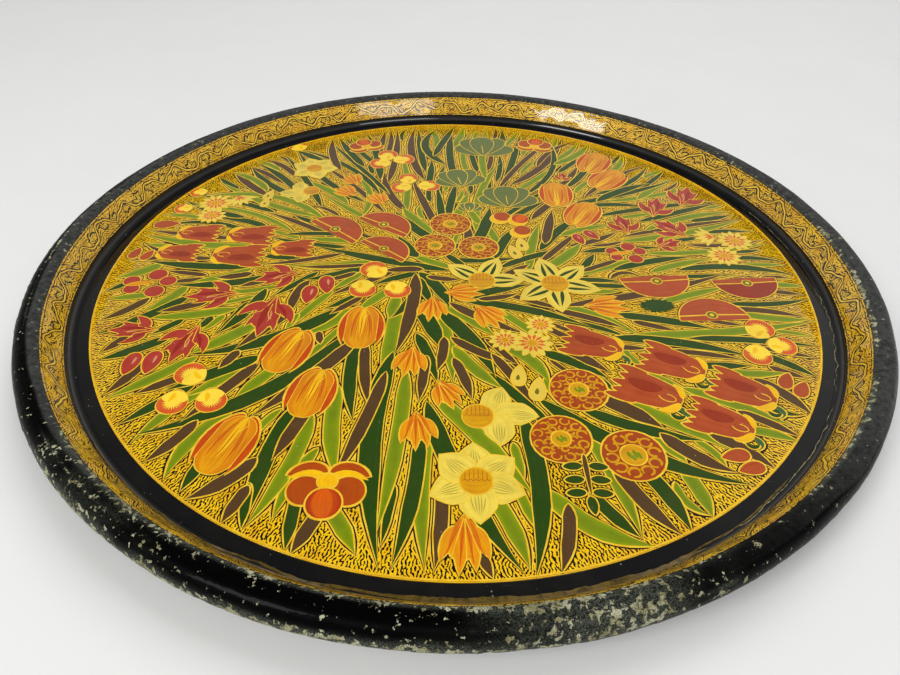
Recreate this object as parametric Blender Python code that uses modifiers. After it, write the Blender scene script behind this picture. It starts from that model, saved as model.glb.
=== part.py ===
"""Round papier-mache tray with a low flared rim, a rolled lip and gilded panels.

Run with: blender --background --python part.py

Lengths are in metres. +Z is up, the tray stands on z = 0 and its centre is on the Z axis.
Every piece is round, so each is a disc or a profile turned about Z. The pieces lie on each
other as they are glued on the real tray, with GAP left between their meshes.
"""

from math import cos, hypot, pi, radians, sin

import bpy

MM = 0.001

# driving dimensions
TRAY_RADIUS = 190 * MM  # to the outside of the lip
TRAY_HEIGHT = 20.9 * MM  # to the crest of the lip
FLOOR_RADIUS = 170 * MM
FLOOR_TOP = 6 * MM
PANEL_RADIUS = 165 * MM  # the gilded panel on the floor
FOOT_RADIUS = 178 * MM  # where the tray meets the table

LINING_THICKNESS = 0.6 * MM
LEAF_THICKNESS = 0.3 * MM
GAP = 0.3 * MM  # between pieces that are glued together

# the flare of the rim's inner face, which carries the gilded border
BORDER_FOOT = (173.4 * MM, 10 * MM)
BORDER_HEAD = (179.1 * MM, 19.4 * MM)
CREST_RADIUS = 181 * MM
WALL_RADIUS = 181.9 * MM  # outside of the rim's wall, under the lip

# the rolled lip, an upper and a lower quarter ellipse that meet at its widest point
LIP_WIDEST_Z = 15 * MM
LIP_UNDERSIDE = 10 * MM
LIP_FLAT_RADIUS = 185 * MM  # the flat top of the lip ends here
LIP_HOLLOW_RADIUS = 185.5 * MM  # its underside is flat inside this

SEGMENTS = 96  # around the tray
ARC_STEPS = 6  # along each rounded stretch of a profile


def new_material(name, colour, roughness, metallic=0.0):
    material = bpy.data.materials.new(name)
    material.use_nodes = True
    shader = material.node_tree.nodes["Principled BSDF"]
    shader.inputs["Base Color"].default_value = (*colour, 1.0)
    shader.inputs["Roughness"].default_value = roughness
    shader.inputs["Metallic"].default_value = metallic
    material.diffuse_color = (*colour, 1.0)
    return material


def add_to(collection, piece, material):
    for owner in list(piece.users_collection):
        owner.objects.unlink(piece)
    collection.objects.link(piece)
    piece.data.materials.append(material)


def disc(name, radius, bottom, thickness, material, collection):
    """A flat round sheet whose underside is at height bottom."""
    bpy.ops.mesh.primitive_cylinder_add(
        vertices=SEGMENTS,
        radius=radius,
        depth=thickness,
        location=(0, 0, bottom + thickness / 2),
    )
    piece = bpy.context.object
    piece.name = piece.data.name = name
    piece.data.shade_smooth()
    piece.data.set_sharp_from_angle(angle=radians(30))
    add_to(collection, piece, material)
    return piece


def ring(name, profile, material, collection):
    """A closed profile of (radius, height) points, down its outer side, turned about Z."""
    mesh = bpy.data.meshes.new(name)
    count = len(profile)
    mesh.from_pydata(
        [(radius, 0, height) for radius, height in profile],
        [(i, (i + 1) % count) for i in range(count)],
        [],
    )
    piece = bpy.data.objects.new(name, mesh)
    add_to(collection, piece, material)
    turn = piece.modifiers.new("turn", "SCREW")
    turn.axis = "Z"
    turn.angle = 2 * pi
    turn.steps = turn.render_steps = SEGMENTS
    turn.use_merge_vertices = True
    turn.merge_threshold = 0.0001 * MM
    turn.use_smooth_shade = True
    return piece


def arc(centre, half_width, half_height, start_deg, end_deg):
    """Points of an elliptical arc, both ends included."""
    points = []
    for step in range(ARC_STEPS + 1):
        angle = radians(start_deg + (end_deg - start_deg) * step / ARC_STEPS)
        points.append((centre[0] + half_width * cos(angle), centre[1] + half_height * sin(angle)))
    return points


def wall_profile():
    """The rim's wall: a flared inner face with a hollow foot, and a steeper outer face."""
    foot = (FLOOR_RADIUS + GAP, FLOOR_TOP)
    # the hollow between the floor and the flare is a quarter ellipse, bowed down and outward
    hollow = arc((foot[0], BORDER_FOOT[1]), BORDER_FOOT[0] - foot[0], BORDER_FOOT[1] - foot[1], 0, -90)
    bottom = LINING_THICKNESS + GAP
    outside = [
        (WALL_RADIUS, TRAY_HEIGHT),
        (WALL_RADIUS, LIP_UNDERSIDE),
        (FOOT_RADIUS, bottom),
    ]
    inside = [(foot[0], bottom)] + hollow[::-1] + [BORDER_HEAD, (CREST_RADIUS, TRAY_HEIGHT)]
    return outside + inside


def lip_profile():
    """The rolled lip, which turns outward and down from the top of the wall."""
    inner = WALL_RADIUS + GAP
    upper = arc(
        (LIP_FLAT_RADIUS, LIP_WIDEST_Z),
        TRAY_RADIUS - LIP_FLAT_RADIUS,
        TRAY_HEIGHT - LIP_WIDEST_Z,
        90,
        0,
    )
    lower = arc(
        (LIP_HOLLOW_RADIUS, LIP_WIDEST_Z),
        TRAY_RADIUS - LIP_HOLLOW_RADIUS,
        LIP_WIDEST_Z - LIP_UNDERSIDE,
        0,
        -90,
    )
    return [(inner, TRAY_HEIGHT)] + upper + lower[1:] + [(inner, LIP_UNDERSIDE)]


def border_profile():
    """A thin strip laid on the flare of the wall, GAP away from it."""
    run, rise = BORDER_HEAD[0] - BORDER_FOOT[0], BORDER_HEAD[1] - BORDER_FOOT[1]
    slope = hypot(run, rise)
    normal = (-rise / slope, run / slope)  # away from the wall: inward and up

    def off(point, distance):
        return (point[0] + normal[0] * distance, point[1] + normal[1] * distance)

    outer, inner = GAP, GAP + LEAF_THICKNESS
    return [off(BORDER_HEAD, outer), off(BORDER_FOOT, outer), off(BORDER_FOOT, inner), off(BORDER_HEAD, inner)]


def build():
    for old in list(bpy.data.objects):
        bpy.data.objects.remove(old)
    tray = bpy.data.collections.new("lacquer_tray")
    bpy.context.scene.collection.children.link(tray)

    lacquer = (0.012, 0.012, 0.014)
    disc(
        "base_lining",
        FOOT_RADIUS,
        0,
        LINING_THICKNESS,
        new_material("lining_lacquer", (0.016, 0.015, 0.016), 0.45),
        tray,
    )
    board_bottom = LINING_THICKNESS + GAP
    disc(
        "floor_board",
        FLOOR_RADIUS,
        board_bottom,
        FLOOR_TOP - board_bottom,
        new_material("floor_lacquer", lacquer, 0.18),
        tray,
    )
    disc(
        "medallion_leaf",
        PANEL_RADIUS,
        FLOOR_TOP + GAP,
        LEAF_THICKNESS,
        new_material("medallion_gold", (0.72, 0.45, 0.06), 0.25, 0.3),
        tray,
    )
    ring("rim_wall", wall_profile(), new_material("wall_lacquer", lacquer, 0.18), tray)
    ring("lip_bead", lip_profile(), new_material("lip_lacquer", lacquer, 0.22), tray)
    ring("border_band", border_profile(), new_material("border_gold", (0.5, 0.33, 0.07), 0.3, 0.3), tray)


build()
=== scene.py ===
"""Looks of the round papier-mache tray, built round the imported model.

The tray's body is turned again at a finer step, with hand-made unevenness and chipped lacquer.
The panel and the border are then painted on it: every petal, leaf, outline and ink mark is a
thin closed shape, laid on the ones below it as brush strokes are.

Lengths are in millimetres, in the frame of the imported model, and become metres in new_mesh.
Angles round the tray are counted from +X towards +Y, and the photograph's viewer is at -Y.
"""

from itertools import product
from math import atan2, ceil, cos, hypot, pi, radians, sin

import bpy
import numpy as np
from mathutils import Matrix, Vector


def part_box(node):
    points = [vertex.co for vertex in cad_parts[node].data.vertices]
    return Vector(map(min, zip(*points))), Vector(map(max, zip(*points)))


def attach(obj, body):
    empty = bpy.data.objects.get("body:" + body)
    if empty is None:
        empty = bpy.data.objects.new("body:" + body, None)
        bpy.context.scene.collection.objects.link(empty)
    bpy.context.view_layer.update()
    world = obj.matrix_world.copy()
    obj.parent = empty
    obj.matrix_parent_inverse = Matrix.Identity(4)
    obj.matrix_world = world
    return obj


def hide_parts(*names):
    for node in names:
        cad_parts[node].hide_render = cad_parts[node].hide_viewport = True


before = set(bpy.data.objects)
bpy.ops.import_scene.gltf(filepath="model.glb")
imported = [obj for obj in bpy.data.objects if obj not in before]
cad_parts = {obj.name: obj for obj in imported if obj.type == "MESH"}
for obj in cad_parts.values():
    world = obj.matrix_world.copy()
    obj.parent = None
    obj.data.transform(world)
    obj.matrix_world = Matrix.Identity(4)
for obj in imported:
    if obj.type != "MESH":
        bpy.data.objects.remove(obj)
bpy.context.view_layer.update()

MM = 0.001
ROOT = "root"  # the tray has no joints, so every piece rides on the one body


def corner(node, which):
    """A node's lowest (0) or highest (1) corner, in millimetres."""
    return [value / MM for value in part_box(node)[which]]


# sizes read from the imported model
TRAY_RADIUS, _, CREST = corner("lip_bead", 1)
LIP_BOTTOM = corner("lip_bead", 0)[2]
FLOOR_RADIUS, _, FLOOR_TOP = corner("floor_board", 1)
PANEL_RADIUS, _, PANEL_TOP = corner("medallion_leaf", 1)
FOOT_RADIUS, _, LINING_TOP = corner("base_lining", 1)

# the rim's section, as in the model: radius and height
BORDER_FOOT, BORDER_HEAD = (173.4, 10.0), (179.1, 19.4)
WALL_RADIUS = 181.9
LIP_WIDEST = 15.0
LIP_FLAT_RADIUS, LIP_HOLLOW_RADIUS = 185.0, 185.5  # where its top and underside start to turn

# how many segments each turned piece has
DISC_SEGMENTS = 512
PANEL_SEGMENTS = 720
WALL_SEGMENTS = 900
BORDER_SEGMENTS = 1400
LIP_SEGMENTS = 1860

SEED = 41  # of all that is placed at random


# ---------------------------------------------------------------- numbers

def smoothstep(low, high, value):
    t = np.clip((value - low) / (high - low), 0, 1)
    return t * t * (3 - 2 * t)


def hump(value, middle, width):
    """1 at the middle, and less to both sides of it, like a bell."""
    return np.exp(-(((value - middle) / width) ** 2))


def circle(angle):
    """Points on the unit circle, one row for each angle."""
    return np.stack([np.cos(angle), np.sin(angle)], 1)


def around(count):
    """Angles all the way round, in count steps."""
    return np.linspace(0, 2 * pi, count, endpoint=False)


def noise(points, cell, seed=0):
    """Smooth noise from -1 to 1 at each row of points, about one bump a cell."""
    points = np.asarray(points, float) / cell
    base = np.floor(points).astype(np.int64)
    part = points - base
    part = part * part * (3 - 2 * part)
    total = np.zeros(len(points))
    for step in product((0, 1), repeat=points.shape[1]):
        mixed = np.full(len(points), seed * 7919 + 17, np.int64)
        weight = np.ones(len(points))
        for axis, add in enumerate(step):
            mixed = (mixed * 73856093) ^ ((base[:, axis] + add) * 19349663)
            mixed = (mixed ^ (mixed >> 15)) & 0xFFFFFFFF
            weight *= part[:, axis] if add else 1 - part[:, axis]
        mixed = (mixed * 83492791) & 0xFFFFFFFF
        mixed = (mixed ^ (mixed >> 13)) & 0xFFFF
        total += weight * (mixed / 32767.5 - 1)
    return total


def ring_noise(angle, bumps, seed=0):
    """Smooth noise round the tray, which meets itself after a full turn."""
    return noise(circle(angle) * (bumps / (2 * pi)), 1, seed)


def spin(angle):
    """The unit vector at an angle in radians."""
    return np.array([cos(angle), sin(angle)])


def aim(degrees):
    """The unit vector at an angle in degrees."""
    return spin(radians(degrees))


def distances(points):
    """How far along a line each of its points lies."""
    return np.concatenate([[0], np.cumsum(np.hypot(*np.diff(points, axis=0).T))])


def left_of(way):
    """Unit vectors at right angles to each row of way, to its left."""
    way = way / np.maximum(np.hypot(*way.T), 1e-9)[:, None]
    return np.stack([-way[:, 1], way[:, 0]], 1)


def tone(*colour):
    """A paint's base colour, from how it should look in the studio's light, 0 to 255."""
    linear = [((value / 255 + 0.055) / 1.055) ** 2.4 for value in colour]
    return tuple(max(0.001, 1.04 * value - 0.008) for value in linear)


# ---------------------------------------------------------------- meshes

SHARP = 40  # degrees: edges of the body sharper than this stay sharp


def new_mesh(name, points, faces, material, uvs=None, smooth=False, replaces=None):
    """A piece from points in millimetres. uvs has one pair for each point.

    smooth is the angle in degrees above which an edge stays sharp, or False for flat faces.
    """
    mesh = bpy.data.meshes.new(name)
    points = np.asarray(points, float) * MM
    sizes = np.array([len(face) for face in faces], np.int32)
    corners = np.concatenate([np.asarray(face, np.int32) for face in faces])
    mesh.vertices.add(len(points))
    mesh.vertices.foreach_set("co", points.ravel())
    mesh.loops.add(len(corners))
    mesh.loops.foreach_set("vertex_index", corners)
    mesh.polygons.add(len(sizes))
    starts = np.concatenate([[0], np.cumsum(sizes)[:-1]]).astype(np.int32)
    mesh.polygons.foreach_set("loop_start", starts)
    mesh.update(calc_edges=True)
    if uvs is not None:
        layer = mesh.uv_layers.new(name="paint")
        layer.data.foreach_set("uv", np.asarray(uvs, float)[corners].ravel())
    mesh.validate()
    mesh.shade_flat()
    if smooth:
        mesh.shade_smooth()
        mesh.set_sharp_from_angle(angle=radians(smooth))
    piece = bpy.data.objects.new(name, mesh)
    bpy.context.scene.collection.objects.link(piece)
    mesh.materials.append(material)
    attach(piece, ROOT)
    if replaces:
        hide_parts(replaces)
    return piece


def uneven(points):
    """Moves points of the body as a hand-made tray strays from a true round."""
    points = np.asarray(points, float)
    angle = np.arctan2(points[:, 1], points[:, 0])
    radius = np.hypot(points[:, 0], points[:, 1])
    rim = smoothstep(FLOOR_RADIUS, TRAY_RADIUS, radius)
    over = smoothstep(WALL_RADIUS, TRAY_RADIUS, radius)
    # the lip is trimmed narrower where the tray nears the viewer's right hand
    narrow = hump(np.degrees(angle), -48, 38)
    grow = 0.25 * rim * ring_noise(angle, 9, 3)
    grow += over * (0.25 * ring_noise(angle, 60, 4) - 1.5 * narrow)
    lift = 0.22 * rim * ring_noise(angle, 14, 5) + 0.12 * over * ring_noise(angle, 70, 6)
    moved = points.copy()
    moved[:, 0] += np.cos(angle) * grow
    moved[:, 1] += np.sin(angle) * grow
    moved[:, 2] += lift
    return moved


def arc(centre, half_width, half_height, start, end, steps):
    """Points of an elliptical arc between two angles in degrees, both ends included."""
    turn = np.radians(np.linspace(start, end, steps + 1))
    return [(centre[0] + half_width * cos(a), centre[1] + half_height * sin(a)) for a in turn]


def along(points, step):
    """The same open line with points about step apart."""
    points = np.asarray(points, float)
    run = distances(points)
    places = np.linspace(0, run[-1], max(2, ceil(run[-1] / step) + 1))
    return np.stack([np.interp(places, run, points[:, k]) for k in (0, 1)], 1)


def turned_points(profile, segments):
    """A section of (radius, height) points repeated round the tray, section by section."""
    angle = around(segments)
    profile = np.asarray(profile, float)
    x = np.cos(angle)[:, None] * profile[None, :, 0]
    y = np.sin(angle)[:, None] * profile[None, :, 0]
    z = np.broadcast_to(profile[None, :, 1], x.shape)
    return np.stack([x, y, z], 2).reshape(-1, 3)


def ring_faces(segments, count):
    """Quads between the sections of a closed ring with count points to a section."""
    a = np.arange(segments)[:, None] * count
    b = (np.arange(segments)[:, None] + 1) % segments * count
    i, j = np.arange(count)[None, :], (np.arange(count)[None, :] + 1) % count
    return np.stack([a + i, a + j, b + j, b + i], 2).reshape(-1, 4)


def turned_disc(name, profile, segments, material, replaces):
    """A section from the axis on top, out and down to the axis below, turned about Z."""
    inner = profile[1:-1]
    ring = turned_points(inner, segments)
    count = len(inner)
    points = uneven(np.concatenate([ring, [(0, 0, profile[0][1]), (0, 0, profile[-1][1])]]))
    faces = list(ring_faces(segments, count).reshape(segments, count, 4)[:, :-1].reshape(-1, 4))
    top, bottom = len(points) - 2, len(points) - 1
    for s in range(segments):
        n = (s + 1) % segments
        faces.append((top, s * count, n * count))
        faces.append((bottom, n * count + count - 1, s * count + count - 1))
    new_mesh(name, points, faces, material, smooth=SHARP, replaces=replaces)


# ---------------------------------------------------------------- materials

class Shade:
    """A node material while it is being put together."""

    def __init__(self, name):
        self.material = bpy.data.materials.new(name)
        self.material.use_nodes = True
        self.tree = self.material.node_tree
        self.shader = self.tree.nodes["Principled BSDF"]

    def put(self, socket, value):
        if isinstance(value, bpy.types.NodeSocket):
            self.tree.links.new(value, socket)
        elif isinstance(value, tuple) and len(value) == 3 and socket.type == "RGBA":
            socket.default_value = (*value, 1)
        else:
            socket.default_value = value

    def node(self, kind, inputs=(), **settings):
        node = self.tree.nodes.new("ShaderNode" + kind)
        for key, value in settings.items():
            setattr(node, key, value)
        for key, value in dict(inputs).items():
            self.put(node.inputs[key], value)
        return node

    def set(self, **values):
        """Sets inputs of the surface: Base_Color is its Base Color, and so on."""
        for key, value in values.items():
            self.put(self.shader.inputs[key.replace("_", " ")], value)

    def math(self, operation, a, b=0.0):
        return self.node("Math", {0: a, 1: b}, operation=operation).outputs[0]

    def plus(self, a, b):
        return self.math("ADD", a, b)

    def minus(self, a, b):
        return self.math("SUBTRACT", a, b)

    def times(self, a, b):
        return self.math("MULTIPLY", a, b)

    def vector(self, operation, a, b):
        return self.node("VectorMath", {0: a, 1: b}, operation=operation).outputs[0]

    def place(self):
        """Object coordinates, in millimetres."""
        return self.vector("MULTIPLY", self.node("TexCoord").outputs["Object"], (1 / MM,) * 3)

    def noise(self, vector, cell, detail=2.0, roughness=0.5, distortion=0.0):
        inputs = {"Vector": vector, "Scale": 1 / cell, "Detail": detail, "Roughness": roughness}
        return self.node("TexNoise", {**inputs, "Distortion": distortion}).outputs["Fac"]

    def range(self, value, low, high, to_low=0.0, to_high=1.0):
        inputs = {"Value": value, "From Min": low, "From Max": high}
        inputs.update({"To Min": to_low, "To Max": to_high})
        return self.node("MapRange", inputs, interpolation_type="SMOOTHSTEP").outputs["Result"]

    def mix(self, factor, a, b):
        node = self.node("Mix", data_type="RGBA")
        for socket, value in ((0, factor), (6, a), (7, b)):
            self.put(node.inputs[socket], value)
        return node.outputs[2]

    def bump(self, height, distance):
        inputs = {"Height": height, "Distance": distance * MM, "Strength": 1.0}
        return self.node("Bump", inputs).outputs[0]

    def attribute(self, name):
        return self.node("Attribute", attribute_name=name).outputs["Fac"]

    def scrawl(self, place, turn, cell, share):
        """Worm-like pen strokes: 1 where there is ink. turn is the way across them, in radians."""
        bend = self.node("TexNoise", {"Vector": place, "Scale": 0.6 / cell}).outputs["Color"]
        bend = self.vector("MULTIPLY", self.vector("SUBTRACT", bend, (0.5,) * 3), (cell,) * 3)
        inputs = {"Vector": self.vector("ADD", bend, place), "Scale": 0.45 / cell}
        inputs.update({"Frequency": 2.2, "Anisotropy": 0.66, "Orientation": turn})
        waves = self.node("TexGabor", inputs).outputs["Value"]
        broken = self.times(self.minus(self.noise(place, 0.8 * cell, 1), 0.5), 0.5)
        return self.range(self.plus(waves, broken), share + 0.02, share - 0.02)

    def flecks(self, vector, cell, size):
        """1 inside scattered round specks of about size, one for some cells, else 0."""
        spots = self.node("TexVoronoi", {"Vector": vector, "Scale": 1 / cell}, feature="F1")
        pick = self.node("SeparateColor", {"Color": spots.outputs["Color"]}).outputs[0]
        inside = self.range(spots.outputs["Distance"], size / cell, size / cell * 0.6)
        return self.times(inside, self.range(pick, 0.62, 0.66))

    def varnished(self, relief=0.012):
        """Adds the clear coat that is over all of the tray, with brush ripples and fine dust."""
        here = self.place()
        ripple = self.times(self.noise(here, 14), 3.0)
        height = self.plus(ripple, self.times(self.noise(here, 1.1), 0.14))
        self.set(Coat_Weight=1.0, Coat_Roughness=0.06, Coat_IOR=1.5, Specular_IOR_Level=0.12)
        self.set(Coat_Normal=self.bump(height, relief))
        return self.material


def paint(name, colour, second, streaks=0.35, edge=None):
    """Brush paint: second shows in streaks along the stroke, edge towards its sides."""
    shade = Shade(name)
    here = shade.place()
    uv = shade.node("UVMap", uv_map="paint").outputs[0]
    hair = shade.noise(shade.vector("MULTIPLY", uv, (0.35, 7.0, 1.0)), 1.0, 3, 0.6)
    cloud = shade.noise(here, 7, 3, 0.6)
    mixed = shade.plus(shade.times(hair, 0.65), shade.times(cloud, 0.35))
    base = shade.mix(shade.range(mixed, 0.62 - streaks * 0.4, 0.72), tone(*colour), tone(*second))
    if edge:
        across = shade.node("SeparateXYZ", {"Vector": uv}).outputs[1]
        side = shade.math("ABSOLUTE", shade.minus(across, 0.5))
        side = shade.plus(side, shade.times(shade.minus(hair, 0.5), 0.5))
        base = shade.mix(shade.range(side, 0.18, 0.46), base, tone(*edge))
    dirt = shade.range(shade.noise(here, 22, 3, 0.6), 0.4, 0.8, 0.0, 0.35)
    base = shade.mix(dirt, base, shade.mix(0.5, base, (0.10, 0.07, 0.03)))
    base = shade.mix(shade.times(shade.flecks(here, 3.1, 0.28), 0.55), base, (0.55, 0.5, 0.36))
    shade.set(Base_Color=base, Roughness=shade.range(hair, 0.3, 0.7, 0.36, 0.5))
    return shade.varnished()


def gold(name, bright, dull, metallic, cell=9.0, inked=None):
    """Powdered gold under yellowed varnish. inked gives the strokes scribbled on it, if any."""
    shade = Shade(name)
    here = shade.place()
    cloud = shade.noise(here, cell, 4, 0.6)
    grain = shade.noise(here, 0.5, 2, 0.6)
    base = shade.mix(shade.range(cloud, 0.35, 0.72), tone(*bright), tone(*dull))
    base = shade.mix(shade.range(grain, 0.45, 0.8, 0.0, 0.5), base, tone(*dull))
    if inked:
        ink_here = inked(shade, here)
        base = shade.mix(ink_here, base, tone(24, 19, 10))
        metallic = shade.times(shade.minus(1.0, ink_here), metallic)
    shade.set(Base_Color=base, Metallic=metallic)
    shade.set(Roughness=shade.range(grain, 0.3, 0.7, 0.34, 0.5), Normal=shade.bump(grain, 0.02))
    return shade.varnished()


def panel_scrawl(shade, here):
    """Strokes that run outward as the leaves do, up to the panel's gold edge."""
    x, y, _ = shade.node("SeparateXYZ", {"Vector": here}).outputs
    turn = shade.math("ARCTAN2", y, shade.minus(x, float(HEART[0])))
    turn = shade.plus(turn, shade.times(shade.noise(here, 8, 1), 1.3))
    ink_here = shade.scrawl(here, shade.plus(turn, pi / 2 - 0.65), 1.15, 0.475)
    reach = shade.node("VectorMath", {0: here}, operation="LENGTH").outputs["Value"]
    return shade.times(ink_here, shade.range(reach, PANEL_RADIUS - 0.75, PANEL_RADIUS - 0.95))


# the border's scroll sways like the sum of these waves: how many round the tray, size and phase
SWAYS = ((52, 0.85, 0.0), (23, 0.42, 1.0), (131, 0.2, 2.0))
SWAY = 3.3  # millimetres


def border_scrawl(shade, here):
    """Fine hatching that flows along the border's scroll."""
    x, y, z = shade.node("SeparateXYZ", {"Vector": here}).outputs
    angle = shade.math("ARCTAN2", y, x)
    up = shade.times(z, 1.17)
    for count, size, phase in SWAYS:
        wave = shade.math("SINE", shade.plus(shade.times(angle, float(count)), phase))
        up = shade.minus(up, shade.times(wave, SWAY * size))
    along_it = shade.times(shade.times(angle, BORDER_RADIUS), 0.6)
    place = shade.node("CombineXYZ", {0: along_it, 1: up}).outputs[0]
    turn = shade.plus(shade.times(shade.noise(here, 4, 1), 2.6), pi / 2 - 1.3)
    return shade.scrawl(place, turn, 1.05, 0.43)


def ink(name, colour):
    """Ink, too fine for its colour to vary, with an uneven shine."""
    shade = Shade(name)
    grain = shade.noise(shade.place(), 0.8, 2, 0.6)
    shade.set(Base_Color=colour, Roughness=shade.range(grain, 0.3, 0.7, 0.3, 0.55))
    return shade.varnished()


def lacquer(name, dusty):
    """Black lacquer with dust in it, fine scratches and a brown cast where it is thin."""
    shade = Shade(name)
    here = shade.place()
    cloud = shade.noise(here, 16, 3, 0.6)
    black, brown = (0.004, 0.004, 0.0045), (0.008, 0.0075, 0.006)
    base = shade.mix(shade.range(cloud, 0.4, 0.75), black, brown)
    dust = shade.math("MAXIMUM", shade.flecks(here, 2.6, 0.2), shade.flecks(here, 6.0, 0.36))
    base = shade.mix(shade.times(dust, 0.6 * dusty), base, (0.34, 0.34, 0.28))
    scratches = shade.noise(shade.vector("MULTIPLY", here, (0.04, 0.9, 0.5)), 1.0, 3, 0.7, 0.4)
    base = shade.mix(shade.range(scratches, 0.66, 0.74, 0.0, 0.25), base, (0.10, 0.095, 0.08))
    shade.set(Base_Color=base, Roughness=shade.range(cloud, 0.3, 0.7, 0.32, 0.45))
    return shade.varnished(0.02)


def chipped_lacquer(name):
    """Lacquer chipped down to the chalk ground where the mesh's wear attribute is high.

    Where its attribute for the flat top is 1 the black turns grey: partly wear, partly painted
    sheen.
    """
    shade = Shade(name)
    here = shade.place()
    worn, scoured_and_sheen = shade.attribute("wear"), shade.attribute("scoured_and_sheen")
    cloud = shade.noise(here, 9, 4, 0.65)
    grain = shade.noise(here, 2.2, 5, 0.6)
    fine = shade.noise(here, 0.45, 3, 0.65)
    bare = shade.range(shade.plus(worn, shade.times(shade.minus(grain, 0.5), 3.1)), 0.50, 0.56)
    # the flat top: grey from wear and painted sheen; the roll outside it is still deep black
    dull = shade.times(scoured_and_sheen, shade.range(grain, 0.36, 0.56, 0.5, 1.0))
    black = shade.mix(dull, tone(10, 8, 6), tone(68, 69, 67))
    dust = shade.math("MAXIMUM", shade.flecks(here, 2.2, 0.2), shade.flecks(here, 5.0, 0.4))
    black = shade.mix(shade.times(dust, 0.6), black, (0.33, 0.34, 0.26))
    chalk = shade.mix(shade.range(cloud, 0.35, 0.65), tone(188, 186, 158), tone(136, 132, 98))
    chalk = shade.mix(shade.range(fine, 0.46, 0.66), chalk, tone(66, 65, 50))
    rubbed = shade.times(shade.range(worn, 0.12, 0.46), shade.range(fine, 0.42, 0.6, 0.12, 0.9))
    base = shade.mix(bare, shade.mix(rubbed, black, tone(86, 90, 80)), chalk)
    shade.set(Base_Color=base, Roughness=shade.range(bare, 0, 1, 0.34, 0.8))
    shade.set(Normal=shade.bump(shade.minus(fine, shade.times(bare, 2.0)), 0.09))
    shade.varnished(0.05)
    shade.set(Specular_IOR_Level=0.02, Coat_Weight=shade.range(scoured_and_sheen, 0, 1, 0.05, 0.14))
    return shade.material


# ---------------------------------------------------------------- the painter

STEP = 0.010  # each layer of paint
CELL = 0.5  # grid on which the painter remembers what is covered
LINE = 0.62  # width of a gold outline
LEAST_INKED = 0.3  # a petal whose gold edge is narrower than this has no ink round it
INK_BEYOND = 0.36  # how far that ink reaches beyond the gold


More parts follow.
